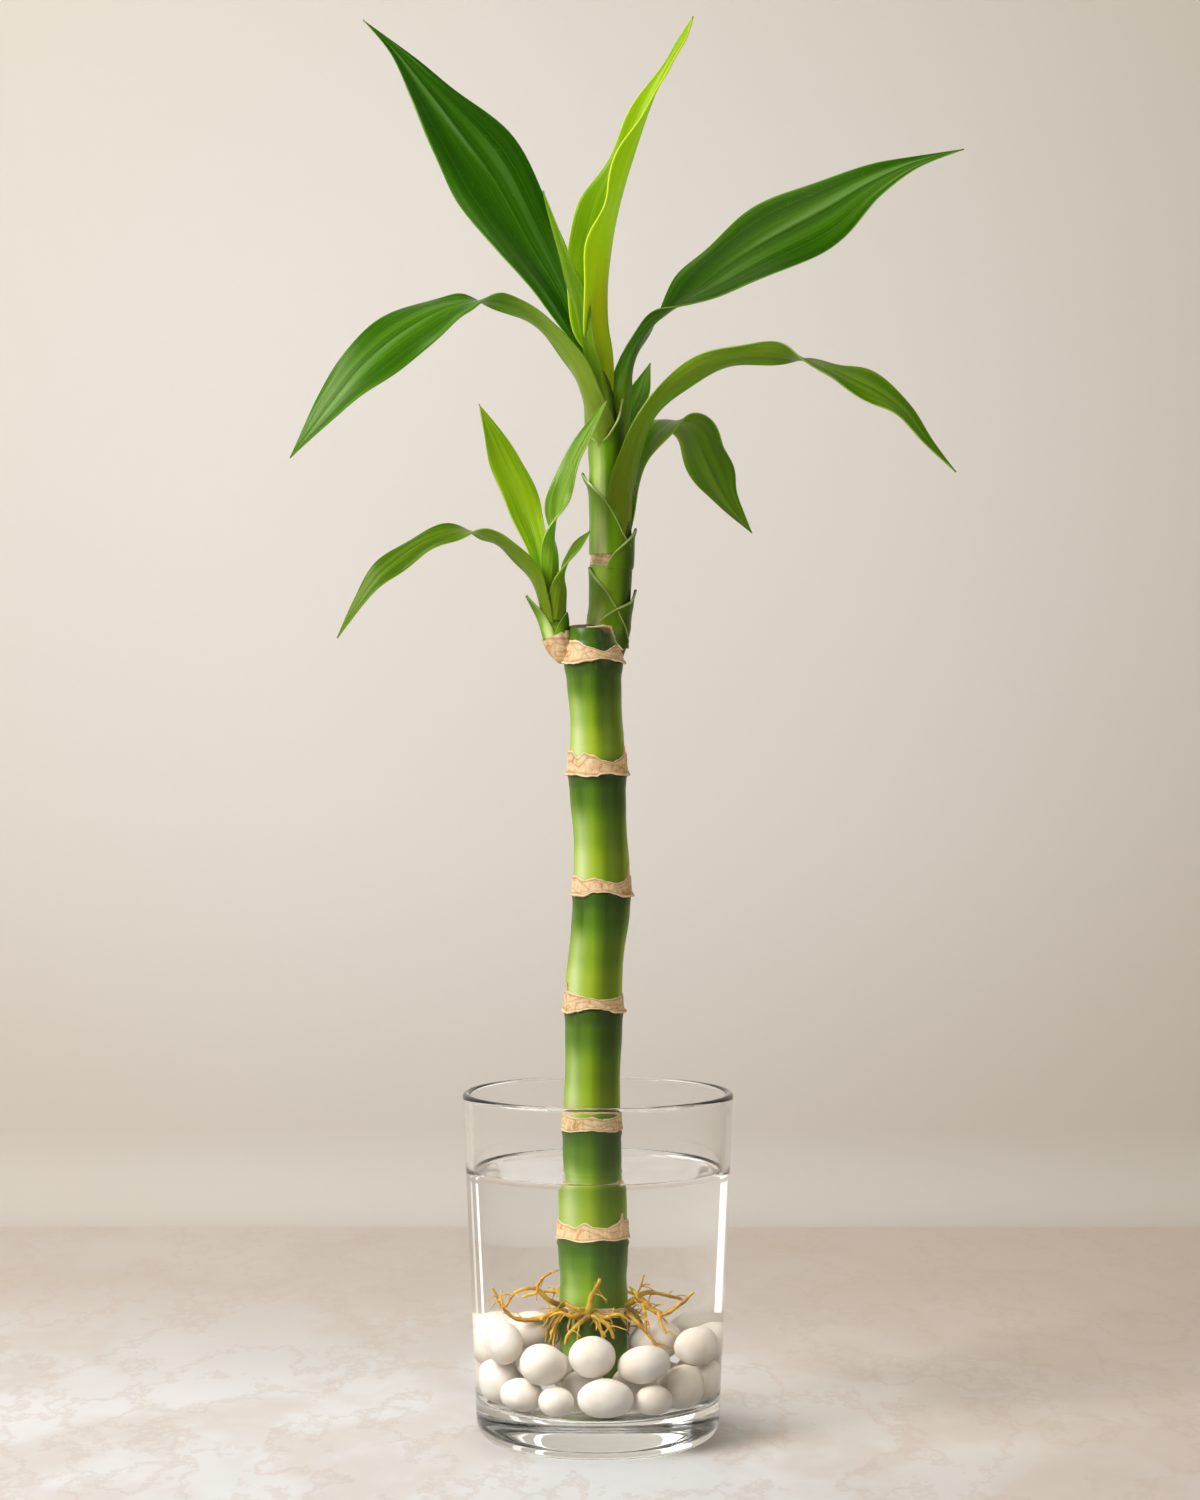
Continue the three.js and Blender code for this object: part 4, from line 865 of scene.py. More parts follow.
def stem_finish(name, edged):
    sheath = Finish(name)
    streak = sheath.grain(0.0014, (1, 1, 0.04), detail=4, roughness=0.6)
    cloud = sheath.grain(0.02, (1, 1, 0.5), detail=2)
    shade = sheath.attribute("shade") + 0.5 * (streak - 0.5)
    # Painted shade on the right of each stem and a painted highlight on its left, from the stem's side
    # marks.
    tone = sheath.coat(
        seen(106, 154, 10), (cloud.between(0.35, 0.65), 134, 178, 28),
        (shade.between(0.0, 0.9) * 0.9, 42, 70, 2), (shade.between(-0.2, -1.2) * 0.75, 190, 220, 104))
    if edged:
        across, up, _ = sheath.axes(sheath.node("UVMap", out="UV"))
        tone = sheath.coat(
            tone, (up.between(0.2, 0.8) * 0.8, 66, 106, 8),
            # A brighter painted highlight low on the lit left side of the leaf feet.
            (shade.between(-0.5, -1.1) * up.between(0.6, 0.05) * 0.8, 232, 246, 176),
            ((abs(across - 0.5) * 2).between(0.955, 0.985) * 0.7, 196, 214, 124),
            (up.between(0.94, 1.0) * 0.9, 84, 60, 26))
    return sheath.show(sheath.skin(
        Base_Color=tone, Roughness=0.26 + 0.12 * streak, Specular_IOR_Level=0.32,
        Specular_Tint=(1, 1, 0.55, 1), Subsurface_Weight=0.15, Subsurface_Radius=(0.4, 1.0, 0.2),
        Subsurface_Scale=0.002, Normal=sheath.bump(streak, 0.00012, 0.5)))


# Leaf feet clasped round the main stem: height, left and right edge (angles from the front), and
# how far the wall stands off the stem's middle line.
WRAPS = {
    "clasp_low_left": [
        (258, -178, 80, 7.3), (262, -175, 60, 7.3), (268, -165, 34, 7), (272.6, -155, 10, 6.95),
        (277.2, -140, -14, 7), (281, -128, -42, 7.15), (284.9, -108, -74, 7.3),
    ],
    "clasp_low_right": [
        (255, -75, 178, 5.8), (262, -46, 172, 7), (266.7, -24, 160, 7.2), (270.6, 12, 145, 7.3),
        (273.6, 60, 122, 7.5), (277.4, 83, 92, 8.1),
    ],
    "clasp_ring_right": [
        (284.4, -15, 168, 6.9), (285.6, -12, 162, 7.2), (289, 4, 152, 7.4), (291.4, 23, 138, 7.45),
        (294.3, 50, 118, 7.6), (297.6, 82, 92, 8.1),
    ],
    "clasp_upper_left": [
        (289.3, -178, 75, 7.1), (295, -172, 37, 7), (301, -160, 13, 6.85), (306.8, -140, -13, 6.85),
        (311.5, -115, -50, 7.2), (316, -92, -84, 8.6),
    ],
    "closed_sheath": [
        (290, -20, 340, 6.5), (305, -20, 340, 6.5), (313, -20, 340, 6.3), (320, -20, 340, 6.1),
        (325.2, -19, 339, 6), (328.5, 8, 300, 6.05), (332.6, 34, 270, 6.1), (338, 62, 240, 6.2),
        (343, 90, 200, 6.3),
    ],
}


def stem_middle(rows, z):
    return (along([(row[2], row[k]) for row in rows], z) for k in (0, 1))


def wrap(name, rows):
    let_go()
    bpy.ops.mesh.primitive_grid_add(x_subdivisions=36, y_subdivisions=6 * (len(rows) - 1), size=1)
    piece = named(name)
    closed = {}
    for point in piece.data.vertices:
        across, t = point.co.x + 0.5, point.co.y + 0.5
        z, left, right, r = follow(rows, t)
        apart = min(max((359 - right + left) / 30, 0), 1)
        r += 0.5 * abs(2 * across - 1) ** 8 * (t > 0.1) * apart
        closed[point.index] = 1 - apart
        turn = left + (right - left) * across
        point.co = Vector(round_at(*stem_middle(MAIN_STEM, z), z, r, turn)) * MM
    for corner, spot in zip(piece.data.loops, piece.data.uv_layers.active.data):
        spot.uv.x = 0.5 + (spot.uv.x - 0.5) * (1 - 0.08 * closed[corner.vertex_index])
    thicken(piece, 0.7, 0)
    bpy.ops.object.shade_smooth_by_angle(angle=radians(60))
    return piece


def painted_stem_light(rows, p):
    """Painted shade on the right of the stem and a painted highlight on the left, by the angle from the
    front.
    """
    x, y = stem_middle(rows, p.z)
    turn = degrees(atan2(p.x - x, y - p.y))
    return exp(-((turn - 70) / 50) ** 2) - exp(-((turn + 32) / 32) ** 2)


soft_stem = stem_finish("soft_stem_skin", False)
leaf_foot = stem_finish("leaf_foot_skin", True)
for name, node, rows in (("main_shoot_stem", "main_stem", MAIN_STEM),
                         ("side_shoot_stem", "side_stem", SIDE_STEM)):
    if node == "main_stem":
        clasps = [wrap(*one) for one in WRAPS.items()]
    else:
        clasps = [blade(f"clasp_{k}", tip, 0.4, wall=0.8) for k, tip in enumerate(SIDE_TIPS)]
    core = stem(name, rows)
    core.data.materials.append(soft_stem)
    for clasp in clasps:
        clasp.data.materials.append(leaf_foot)
        clasp.data.materials.append(leaf_foot)
    shoot = join([core, *clasps], name)
    mark(shoot, "shade", lambda p, rows=rows: painted_stem_light(rows, p))
    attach(shoot, "root")
    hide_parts(node)

SHOOT_EDGES = (
    [(-120, 291.4), (-70, 290.6), (-35, 290.2), (0, 289.7), (30, 289.6), (60, 290.2), (110, 290.8),
     (170, 290.4)],
    [(-120, 285.4), (-60, 285.8), (-20, 285.5), (20, 285.9), (60, 285.6), (120, 285.9), (170, 285.5)],
)
shoot_ring = torn_band(
    "dried_ring_shoot", SHOOT_EDGES, (4.4, 11.2), [(280, 6.3), (300, 6.3)], 0.2, 31.0)
shoot_ring.data.materials.append(dried_sheath)
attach(shoot_ring, "root")
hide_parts("sheath_ring_shoot")

# The side shoot's own dried collar, open above, belongs with the top ring.
COLLAR = [  # middle and radius, from the foot up
    (-10, 0.2, 252.8, 2.6), (-11.4, 0.2, 255.2, 3.9), (-12.6, 0.2, 258.2, 4.6),
    (-13.5, 0.3, 262.2, 4.75)]
COLLAR_ROWS = 12


def collar_point(turn, row):
    share = row / COLLAR_ROWS
    x, y, z, r = follow(COLLAR, share)
    r += 0.3 * uneven(turn, 3, z / 3)
    z += share ** 2 * (1.6 * sin(radians(turn)) + uneven(turn, 4, 9))
    return round_at(x, y, z, r, turn)


collar = tube("dried_collar_side", 72, COLLAR_ROWS, collar_point)
mark(collar, "across", lambda p: 0.1 + 0.9 * (p.z - 253) / 9)
papery(collar)
collar.data.materials.append(dried_sheath)
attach(collar, "root")
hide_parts("sheath_ring_1")


# ---------- leaves ----------
# Soft strap leaves that clasp the stem with a narrow foot, arch out and end in a point. Each
# is a grid laid along its midrib, folded and waved, then given its thin wall.
LEAVES = {  # crease, finish of the upper and lower face, rows; youngest first in each shoot
    "leaf_spear": (0.85, "spear_bright", "young_under", [
        (5.2, 11.4, 324, 4.4, -1, 0, 0, 1.6), (5.2, 11.2, 336, 5.4, -1, 0, 0, 1.6),
        (5.1, 11, 347, 6.4, -1, 0, 0, 1.6), (4.7, 10.6, 356, 8, -1, -0.05, 0, 1.5),
        (3.2, 10.2, 366, 11.2, -1, -0.35, 0.05, 1.3), (3.1, 10.2, 378, 14.2, -1, -0.5, 0.1, 1.12),
        (4.3, 10.2, 390, 14.6, -1, -0.52, 0.1, 1.06), (6.2, 10, 401, 13.4, -1, -0.52, 0.15, 1.02),
        (9, 9.6, 412, 10.6, -1, -0.5, 0.2, 1), (13.4, 9, 426, 7.2, -1, -0.45, 0.25, 0.95),
        (18.4, 8, 440, 4.4, -0.9, -0.6, 0.3, 0.8), (23.6, 6.5, 451, 1.8, -0.5, -0.8, 0.2, 0.5),
        (28.6, 5, 459, 2.2, -0.7, -0.6, 0.5, 0.35), (31.3, 3.6, 466, 0, -0.8, -0.5, 0.3, 0.3),
    ]),
    "leaf_young": (0.6, "light_green", "young_bright", [
        (-1.6, 9.6, 334, 3.4, 0.9, 0.5, 0, 1.2), (-3.4, 8, 349, 4.4, 0.9, 0.5, 0, 1),
        (-4.8, 6.2, 358, 4.8, 0.85, 0.5, 0.1, 0.9), (-7.6, 4.2, 371, 4.6, 0.8, 0.5, 0.2, 0.8),
        (-11.2, 2.4, 383, 3.8, 0.75, 0.5, 0.3, 0.7), (-14.6, 1, 395, 2, 0.7, 0.5, 0.3, 0.6),
        (-18, 0, 408, 0, 0.7, 0.5, 0.3, 0.5),
    ]),
    "leaf_upper_left": (0.35, "mature", "mature_under", [
        (-0.8, 13.2, 320, 4.2, 0.8, -0.6, 0, 1.2), (-2.2, 14.2, 331, 4.6, 0.8, -0.6, 0, 1.1),
        (-3.4, 14.8, 341, 4.8, 0.8, -0.6, 0, 1), (-4.3, 16, 353.5, 4.9, 0.6, -0.8, 0, 0.8),
        (-7, 18, 363, 4.8, 0.4, -0.9, 0.1, 0.5), (-13.8, 21.5, 378.2, 7.2, 0.25, -0.95, 0.25, 0.25),
        (-23.2, 26.5, 394.4, 11.8, 0.15, -0.95, 0.3, 0.1), (-35, 32, 416.4, 14.2, 0.1, -0.95, 0.3, 0.06),
        (-46.8, 36, 433.4, 12.2, 0.1, -0.95, 0.3, 0.1), (-58.2, 39, 449, 6.8, 0.1, -0.95, 0.3, 0.2),
        (-69.2, 41, 463, 2.2, 0.1, -0.95, 0.3, 0.3), (-80.4, 42.5, 474, 0, 0.1, -0.95, 0.3, 0.3),
    ]),
    "leaf_upper_right": (0.35, "middle_aged", "mature_under", [
        (6.8, 12.4, 308, 5, -0.95, -0.3, 0, 1.4), (7.6, 13, 320, 5.2, -0.9, -0.4, 0, 1.15),
        (7.2, 8.2, 318, 4.6, -0.25, 0.95, 0, 0.95), (7.6, 8.2, 329, 4.6, -0.25, 0.95, 0, 0.95),
        (8.2, 9.6, 340, 4.4, -0.3, 0.95, 0.1, 0.9), (9.8, 12.5, 349.5, 4.2, -0.45, 0.85, 0.25, 0.8),
        (13, 15.5, 358.5, 4, -0.55, 0.7, 0.4, 0.65), (18, 18.8, 366, 4.2, -0.5, 0.35, 0.7, 0.5),
        (24.5, 22, 371.6, 5.4, -0.4, -0.2, 0.9, 0.35), (34, 26, 380.2, 9.8, -0.3, -0.75, 0.6, 0.15),
        (45.4, 30, 389.4, 12.4, -0.25, -0.85, 0.45, -0.05),
        (59.8, 34, 398.6, 13.9, -0.2, -0.9, 0.4, -0.12),
        (76.8, 38, 408.2, 12.6, -0.2, -0.9, 0.35, -0.08), (93.4, 41, 418.2, 7, -0.2, -0.9, 0.35, 0.1),
        (108.2, 43, 425, 2.5, -0.15, -0.9, 0.4, 0.25), (125.5, 45, 430.2, 0, -0.1, -0.9, 0.4, 0.3),
    ]),
    "leaf_arching_left": (0.35, "arching_green", "mature_under", [
        (1.6, 7, 304, 4.6, 0.3, 0.95, 0, 1.3), (1.1, 6.4, 315, 5.4, 0.3, 0.95, 0, 1.25),
        (0.2, 5.3, 326, 6.6, 0.35, 0.95, 0, 1.15), (-1.4, 4.6, 334, 6.2, 0.45, 0.85, 0.1, 1),
        (-4.2, 3.8, 342, 5.4, 0.6, 0.7, 0.25, 0.8), (-8.2, 2.8, 351, 4.9, 0.7, 0.55, 0.5, 0.6),
        (-14.3, 1, 359.6, 4.3, 0.55, 0.6, 0.6, 0.45), (-22, -1.5, 366.4, 4, 0.35, 0.7, 0.7, 0.35),
        (-30.4, -4, 369.9, 3.8, 0.15, 0.6, 0.8, 0.3), (-37.4, -6, 370.8, 4.6, 0, 0.1, 1, 0.2),
        (-45, -8, 369.2, 6.6, -0.15, -0.6, 0.8, 0.05), (-54.7, -10.5, 365, 9, -0.25, -0.85, 0.5, -0.1),
        (-66.6, -13, 357, 10.2, -0.3, -0.9, 0.35, -0.12),
        (-77.3, -15, 347.2, 8.8, -0.35, -0.9, 0.3, -0.05),
        (-86, -16.5, 336.4, 6.1, -0.4, -0.85, 0.3, 0.1), (-92.9, -17.5, 327, 2.9, -0.5, -0.8, 0.3, 0.25),
        (-99.2, -18, 318.7, 0, -0.5, -0.8, 0.3, 0.3),
    ]),
    "leaf_small_back": (0.4, "soft_green", "soft_green", [
        (5.2, 14.6, 304, 3.6, -0.5, -0.85, 0, 0.8), (6.6, 17.2, 321, 4.2, -0.5, -0.85, 0, 0.8),
        (8.4, 18.8, 329, 4.6, -0.5, -0.85, 0.1, 0.6), (11.2, 20.8, 337, 4.9, -0.4, -0.9, 0.2, 0.4),
        (14.4, 23, 345, 3.6, -0.4, -0.9, 0.3, 0.3), (17.6, 25.2, 354.5, 0, -0.4, -0.9, 0.3, 0.3),
    ]),
    "leaf_arching_right": (0.35, "olive_green", "mature_under", [
        (8.3, 6.5, 288, 6.2, -0.6, 0.8, 0, 1), (8.9, 5.4, 303, 6.6, -0.6, 0.8, 0, 0.8),
        (9.5, 4.7, 311, 6.2, -0.65, 0.75, 0.1, 0.7), (11.8, 3.7, 321, 5.2, -0.7, 0.6, 0.3, 0.55),
        (15.8, 2.2, 332, 4.6, -0.6, 0.65, 0.5, 0.45), (22.2, 0, 341, 4.2, -0.4, 0.75, 0.55, 0.35),
        (31.2, -4, 347.9, 4.1, -0.2, 0.8, 0.6, 0.25), (41.2, -8, 351.8, 4.2, 0, 0.8, 0.6, 0.2),
        (51.4, -12, 352.8, 4.3, 0.1, 0.7, 0.7, 0.2), (60.3, -15, 351.8, 4.7, 0.15, 0.45, 0.9, 0.2),
        (67, -17, 350.2, 4.7, 0.2, 0, 1, 0.15), (74.2, -19, 347.5, 5, 0.3, -0.6, 0.75, 0.05),
        (82.2, -21, 343.7, 5.6, 0.3, -0.85, 0.45, 0), (90.4, -23, 339.2, 5.2, 0.35, -0.85, 0.4, 0),
        (97.7, -25, 333, 3.9, 0.45, -0.8, 0.4, 0.15), (105, -27, 323.2, 1.9, 0.5, -0.8, 0.3, 0.3),
        (114.1, -28, 313.3, 0, 0.55, -0.75, 0.3, 0.3),
    ]),
    "leaf_low_back": (0.35, "olive_green", "olive_green", [
        (8.4, 14.4, 285, 5.6, -0.75, -0.6, 0, 0.9), (10, 15.8, 299, 6, -0.75, -0.6, 0, 0.75),
        (11.4, 17.4, 309, 5.6, -0.7, -0.6, 0.2, 0.6), (14.6, 21, 320.8, 5.4, -0.6, -0.65, 0.4, 0.45),
        (19.8, 26, 330.8, 6.2, -0.35, -0.6, 0.75, 0.35), (26.6, 32, 335.6, 7.6, 0, -0.1, 1, 0.25),
        (32.4, 37, 331.8, 8.8, 0.4, 0.7, 0.6, 0.2), (36.2, 40.4, 324.4, 8.8, 0.45, 0.8, 0.35, 0.2),
        (40, 43, 316.6, 7.4, 0.45, 0.85, 0.3, 0.2), (44.8, 45, 309, 4.2, 0.45, 0.85, 0.3, 0.25),
        (52.9, 46, 298.6, 0, 0.45, 0.85, 0.3, 0.3),
    ]),
    "side_leaf_upright": (0.35, "young_bright", "young_under", [
        (-17.2, 2.8, 274, 3.4, 0.3, -0.95, 0, 0.8), (-18.4, 3.6, 282, 3.2, 0.25, -0.95, 0.05, 0.6),
        (-20.4, 5.4, 292, 3.8, 0.2, -0.95, 0.15, 0.4), (-24.8, 8, 305.4, 5.8, 0.15, -0.95, 0.2, 0.25),
        (-30.2, 10.5, 318, 5.4, 0.15, -0.95, 0.2, 0.22),
        (-35.2, 12.5, 329.7, 2.9, 0.15, -0.95, 0.2, 0.3), (-39.6, 14, 339.5, 0, 0.15, -0.95, 0.2, 0.3),
    ]),
    "side_leaf_right": (0.4, "soft_green", "soft_green", [
        (-15.2, -3.2, 275, 3.4, -0.15, 0.95, 0, 0.95), (-15, -3.6, 285, 3.4, -0.4, 0.85, 0.1, 0.75),
        (-14.2, -3.8, 296, 4, -0.8, 0.1, 0.2, 0.6), (-12.3, -4.2, 308, 4.4, -0.5, -0.8, 0.3, 0.3),
        (-8.2, -4.8, 319, 3.8, -0.5, -0.8, 0.3, 0.2), (-2.5, -5.6, 329.4, 2.3, -0.55, -0.75, 0.35, 0.3),
        (2.9, -6, 338.4, 0, -0.6, -0.7, 0.4, 0.3),
    ]),
    "side_leaf_arching": (0.35, "olive_green", "light_green", [
        (-18.2, -2.4, 266, 4, 0.85, 0.5, 0, 0.85), (-18.9, -3.1, 273, 3.8, 0.8, 0.5, 0.2, 0.7),
        (-21.4, -4.6, 281.4, 3.5, 0.6, 0.6, 0.5, 0.5), (-26.3, -6.5, 287.7, 3.4, 0.4, 0.65, 0.65, 0.35),
        (-31.3, -8, 291.8, 3.4, 0.2, 0.6, 0.75, 0.3), (-36.4, -9.5, 294.1, 3.4, 0.05, 0.35, 0.95, 0.2),
        (-42.2, -11, 295.4, 3.6, -0.1, -0.3, 1, 0.1), (-49.2, -13, 294.5, 4, -0.2, -0.75, 0.6, 0.05),
        (-57.5, -15, 290.8, 4.4, -0.3, -0.85, 0.45, 0), (-65.1, -17, 285.4, 4.5, -0.35, -0.85, 0.4, 0),
        (-71.6, -18.5, 279.6, 4.1, -0.45, -0.8, 0.4, 0.1),
        (-77, -19.5, 271.8, 2.5, -0.6, -0.7, 0.3, 0.2), (-83.8, -20.5, 260.6, 0, -0.7, -0.7, 0.2, 0.3),
    ]),
    "side_leaf_small": (0.4, "olive_green", "light_green", [
        (-13.4, -4.3, 267, 3.8, -0.2, 0.95, 0, 0.8), (-12.4, -4.8, 276, 3.4, -0.45, 0.85, 0.1, 0.65),
        (-10.3, -5.2, 284.6, 3, -0.8, 0, 0.3, 0.5), (-6.7, -5.6, 290.8, 2.3, -0.5, -0.75, 0.45, 0.3),
        (-2.6, -5.8, 296, 0, -0.5, -0.75, 0.45, 0.3),
    ]),
}


def leaf_finish(name, deep, bright, pale, foot, shine, vein=0.3, stalk=0.42, painted_sheen=0.0, shaded_half_and_tip=None):
    """Greens go from deep to bright in broad folds, partly the leaf's own tone and partly painted sheen,
    with a grey-green painted sheen on the brightest folds; the last colour is painted shade on the left
    half, and a darker tip.
    """
    green = Finish(name)
    uv = green.node("UVMap", out="UV")
    across, up, _ = green.axes(uv)
    off = abs(across - 0.5) * 2
    veins, folds = (
        green.cloudy(green.node("Mapping", {"Vector": uv, "Scale": lines}), 1, detail, rough)
        for lines, detail, rough in (((60, 1.1, 1), 3, 0.6), ((5, 1.8, 1), 2, 0.4)))
    speck = green.grain(0.0016, detail=2).between(0.66, 0.74)
    tone = green.coat(
        seen(*deep), (folds.between(0.35, 0.65), *bright),
        (folds.between(0.52, 0.72) * painted_sheen, 132, 160, 104))
    # Painted shade: the given darker green on the left half; the same green also darkens the tip.
    if shaded_half_and_tip:
        tone = green.coat(
            tone, (across.between(0.53, 0.46) * up.between(0.9, 0.6), *shaded_half_and_tip),
            (up.between(0.7, 0.94) * 0.75, *shaded_half_and_tip))
    tone = green.coat(
        tone, (veins.between(0.5, 0.72) * vein, *pale), (veins.between(0.48, 0.3) * 0.3, *deep),
        (up.between(stalk, stalk - 0.26) * 0.85, *foot), ((1 - off).between(0.955, 0.99) * 0.3, *pale),
        (off.between(0.96, 0.985) * 0.75, *pale), (speck * 0.12, *pale),
        (up.between(0.975, 1.0) * 0.6, 120, 96, 30))
    return green.show(green.skin(
        Base_Color=tone, Roughness=shine + 0.12 * veins, Specular_IOR_Level=0.22,
        Specular_Tint=(1, 1, 0.55, 1), Subsurface_Weight=0.5, Subsurface_Radius=(0.4, 1.0, 0.2),
        Subsurface_Scale=0.003, Normal=green.bump(folds + 0.1 * veins, 0.0014, 0.6)))


FOOT = (140, 180, 36)
# Below, bright is partly painted sheen and sheen is a painted sheen; the last colour of a row is painted
# shade on one half and a darker tip.
GREENS = {  # deep, bright, pale and foot colour, shine, veins, where the stalk ends, sheen, inner
    "mature": ((28, 60, 1), (52, 90, 3), (112, 152, 52), FOOT, 0.2, 0.15, 0.42, 0.35),
    "mature_under": ((104, 140, 18), (126, 162, 34), (160, 190, 90), FOOT, 0.28),
    "middle_aged": ((44, 82, 1), (74, 116, 6), (130, 168, 58), FOOT, 0.2, 0.2, 0.42, 0.5),
    "arching_green": ((50, 92, 2), (76, 120, 6), (124, 160, 60), (136, 160, 50), 0.22, 0.2, 0.62, 0.35),
    "olive_green": ((70, 98, 2), (98, 124, 8), (140, 166, 62), (116, 140, 26), 0.24, 0.2, 0.62),
    "light_green": ((94, 132, 10), (118, 152, 22), (170, 196, 84), FOOT, 0.26),
    "young_bright": ((144, 172, 6), (170, 196, 26), (208, 222, 120), FOOT, 0.26, 0.4),
    # spear_bright and young_under are lighter than the young leaves' own lime: partly their own colour,
    # partly painted light for the light shining through the thin leaves.
    "spear_bright": (
        (182, 214, 4), (198, 226, 16), (206, 228, 56), (166, 216, 4), 0.3, 0.3, 0.42, 0,
        (116, 150, 4)),
    "young_under": ((214, 236, 40), (228, 246, 74), (238, 248, 150), FOOT, 0.3, 0.4),
    "soft_green": ((92, 130, 20), (124, 156, 48), (184, 204, 110), FOOT, 0.22),
}
greens = {name: leaf_finish("leaf_" + name, *row) for name, row in GREENS.items()}
for number, (name, (crease, upper, lower, rows)) in enumerate(LEAVES.items()):
    leaf = blade("blade_" + name, rows, crease, wave=1.4, seed=number)
    leaf.data.materials.append(greens[upper])
    leaf.data.materials.append(greens[lower])
    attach(leaf, "root")
    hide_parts(name)


# ---------- roots ----------
# Orange-gold water roots that leave the lowest joint and wander between the stones, with thin
# side roots. Each is a curve with a round section that thins to its tip.
ROOTS = [  # thickness at the start, then the way it takes
    (0.9, [(-9, -3.4, 44), (-13.7, -6, 46.6), (-17.7, -8, 50.6), (-23.5, -10, 49.5),
         (-26.6, -11, 44.8)]),
    (0.6, [(-17.7, -8, 50.6), (-14.6, -7.4, 54.8), (-10.8, -7, 56.7)]),
    (0.9, [(-9, 1, 42.6), (-17, 0, 39.4), (-23.3, -2, 40), (-27.2, -4, 44.6), (-30, -5, 50)]),
    (0.6, [(-26.6, -11, 44.8), (-28, -10, 47), (-27.4, -8, 49.6)]),
    (0.8, [(-8, -5, 43), (-12.6, -8, 43), (-16.4, -10.6, 41)]),
    (1.15, [(-3, -9, 42.4), (-2.6, -11, 44), (-1.9, -11.6, 48.5), (-0.4, -11.8, 52), (0.6, -12, 54.6)]),
    (1, [(-3, -9, 43.4), (-5.4, -10.6, 44.4), (-8.4, -9.4, 45.8), (-9.6, -6.8, 46.6)]),
    (1, [(-2.6, -9.6, 43), (-0.2, -12, 41.8), (2.8, -12.8, 39.6), (4.4, -13, 35.4)]),
    (0.9, [(-2.4, -10, 43.4), (-6.6, -11.6, 42.2), (-10.6, -12.4, 43.4), (-13.6, -12.6, 42.4)]),
    (0.9, [(-2.2, -10.6, 42.6), (-5.4, -12, 40), (-8.6, -12.8, 36.4), (-9.4, -13.4, 33.4)]),
    (0.9, [(-1, -10, 43), (2.4, -12.4, 42.2), (6, -12.8, 43), (9.4, -12.2, 40.6)]),
    (0.8, [(-1.4, -10.4, 42.4), (0.6, -12.2, 38.6), (1.9, -13, 34)]),
    (1.1, [(7, -3, 44.4), (11.5, -5, 46.6), (15, -6, 43.6), (18.4, -7, 42), (23.3, -8, 45.4),
         (27.4, -9, 49.4)]),
    (0.8, [(11.5, -5, 46.6), (10.4, -6.4, 49), (8.6, -7.6, 51.2)]),
    (0.8, [(17, -6.6, 42.6), (17.6, -9, 40), (19.6, -11, 36.4)]),
    (0.7, [(12.4, -5.2, 45.8), (13.2, -8, 41), (13.6, -10, 36.6)]),
    (0.8, [(8, -4.6, 42.6), (11, -8, 39.6), (15, -10, 35), (17, -11, 31.6)]),
    (0.5, [(9, -4.4, 45.4), (11.4, -6, 50), (12.8, -6.6, 55)]),
    (0.9, [(7.6, 2, 44), (12.6, 4, 47.4), (18, 5, 46.6), (22, 7.4, 44.4)]),
    (0.9, [(3, 8.6, 44), (6, 14, 46.4), (7.4, 19, 45.6), (10, 24, 43.6)]),
    (0.9, [(-6, 8, 44), (-10.4, 13, 46.6), (-15.4, 17, 45.6), (-18.6, 21, 43.4)]),
    (0.7, [(-10.4, 13, 46.6), (-9.4, 17.4, 47.8), (-6, 21, 47.2)]),
]
ROOT_MIDDLE = -1.2
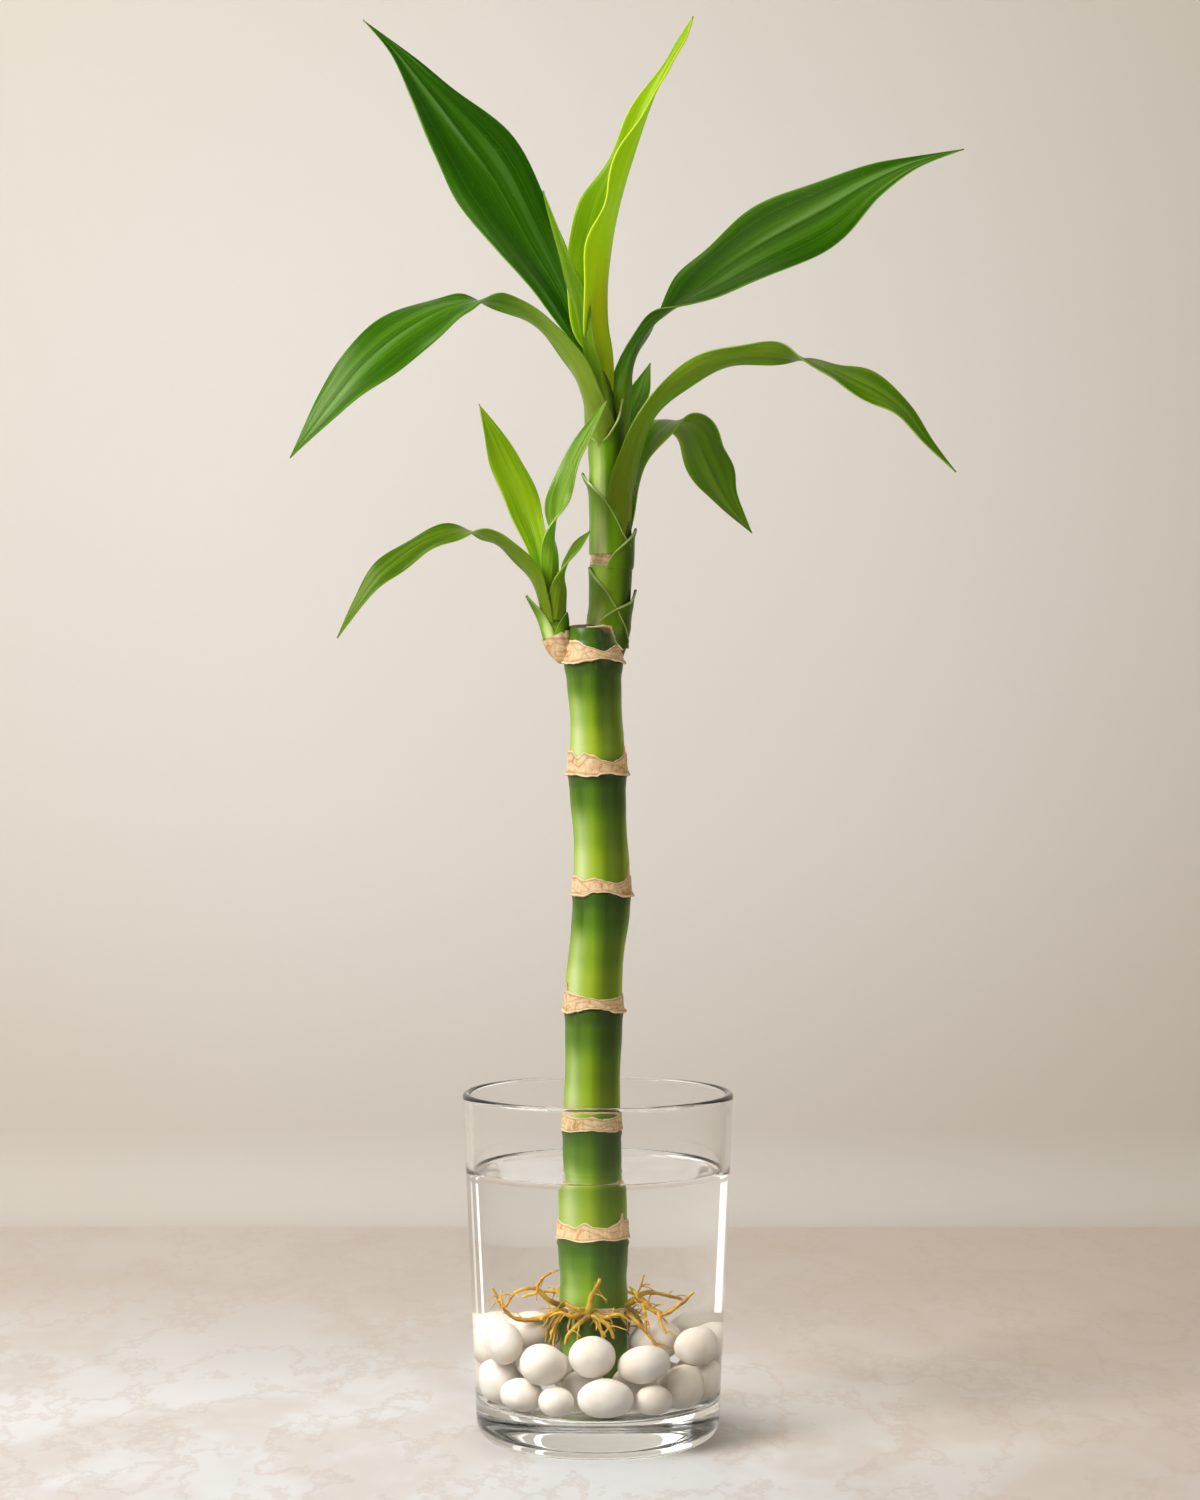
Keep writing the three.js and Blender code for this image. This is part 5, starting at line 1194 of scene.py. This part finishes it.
# Short roots in a ragged skirt round the foot, most of them at the left.
chance = random.Random(11)
for number in range(32):
    turn = chance.choice((-72, -72, -60, 70, 160)) + chance.uniform(-38, 38)
    side, front = sin(radians(turn)), -cos(radians(turn))
    reach, down, lean = chance.uniform(2, 8), chance.uniform(5, 12), chance.uniform(-3, 3)
    ROOTS.append((chance.uniform(0.4, 0.7), [
        (ROOT_MIDDLE + (8.8 + reach * out) * side + lean * sink * front,
         (8.8 + reach * out) * front - lean * sink * side, 43.2 - down * sink)
        for out, sink in ((0, 0), (0.3, 0.1), (0.6, 0.5), (0.8, 1))]))

BRANCHED = 26  # so many roots, from the first, carry side roots
DROOP = Vector((0, 0, -1.2))
rootlets = []
for _, way in ROOTS[:BRANCHED]:
    for _ in range(3):
        start = Vector(follow(way, chance.uniform(0.15, 0.9)))
        out = Vector((start.x - ROOT_MIDDLE, start.y, 0)).normalized() * chance.uniform(0.2, 1)
        out = (out + Vector([chance.uniform(-0.8, 0.8) for _ in range(3)])).normalized()
        reach = chance.uniform(2.5, 5.5)
        rootlets.append((0.28, [start, start + out * reach * 0.5, start + out * reach + DROOP]))
roots = strands("water_roots", ROOTS + rootlets)
ROOT_EDGES = (
    [(-90, 44.6), (-40, 44.1), (0, 44.5), (50, 44), (110, 44.7)],
    [(-90, 42.3), (-40, 41.6), (0, 42), (60, 41), (90, 42), (170, 42.2)],
)
root_band = torn_band("root_band", ROOT_EDGES, (ROOT_MIDDLE, 0), girth, 0.1, 55.0)


def root_finish():
    fibre = Finish("golden_root")
    cloud = fibre.grain(0.004, detail=3)
    fine = fibre.grain(0.0008, detail=3)
    near = fibre.attribute("near")
    tone = fibre.coat(
        fibre.ramp(cloud, (0.3, 164, 112, 24), (0.5, 208, 160, 38), (0.7, 220, 188, 76)),
        (fine.between(0.55, 0.75) * 0.35, 234, 208, 120), (fine.between(0.42, 0.3) * 0.5, 150, 96, 30),
        (near * (0.4 + 0.6 * cloud), 128, 128, 26),
        (near * cloud.between(0.48, 0.36) * 0.8, 140, 84, 34))
    return fibre.show(fibre.skin(
        Base_Color=tone, Roughness=0.42 + 0.2 * fine, Subsurface_Weight=0.25,
        Subsurface_Radius=(1.0, 0.6, 0.2), Subsurface_Scale=0.001, Normal=fibre.bump(fine, 0.0002, 0.5)))


mark(roots, "near", lambda p: min(max((14.5 - hypot(p.x - ROOT_MIDDLE, p.y)) / 4, 0), 1))
roots.data.materials.clear()
roots.data.materials.append(root_finish())
root_band.data.materials.append(dried_sheath)
roots = join([roots, root_band], "water_roots")
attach(roots, "root")
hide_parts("roots")
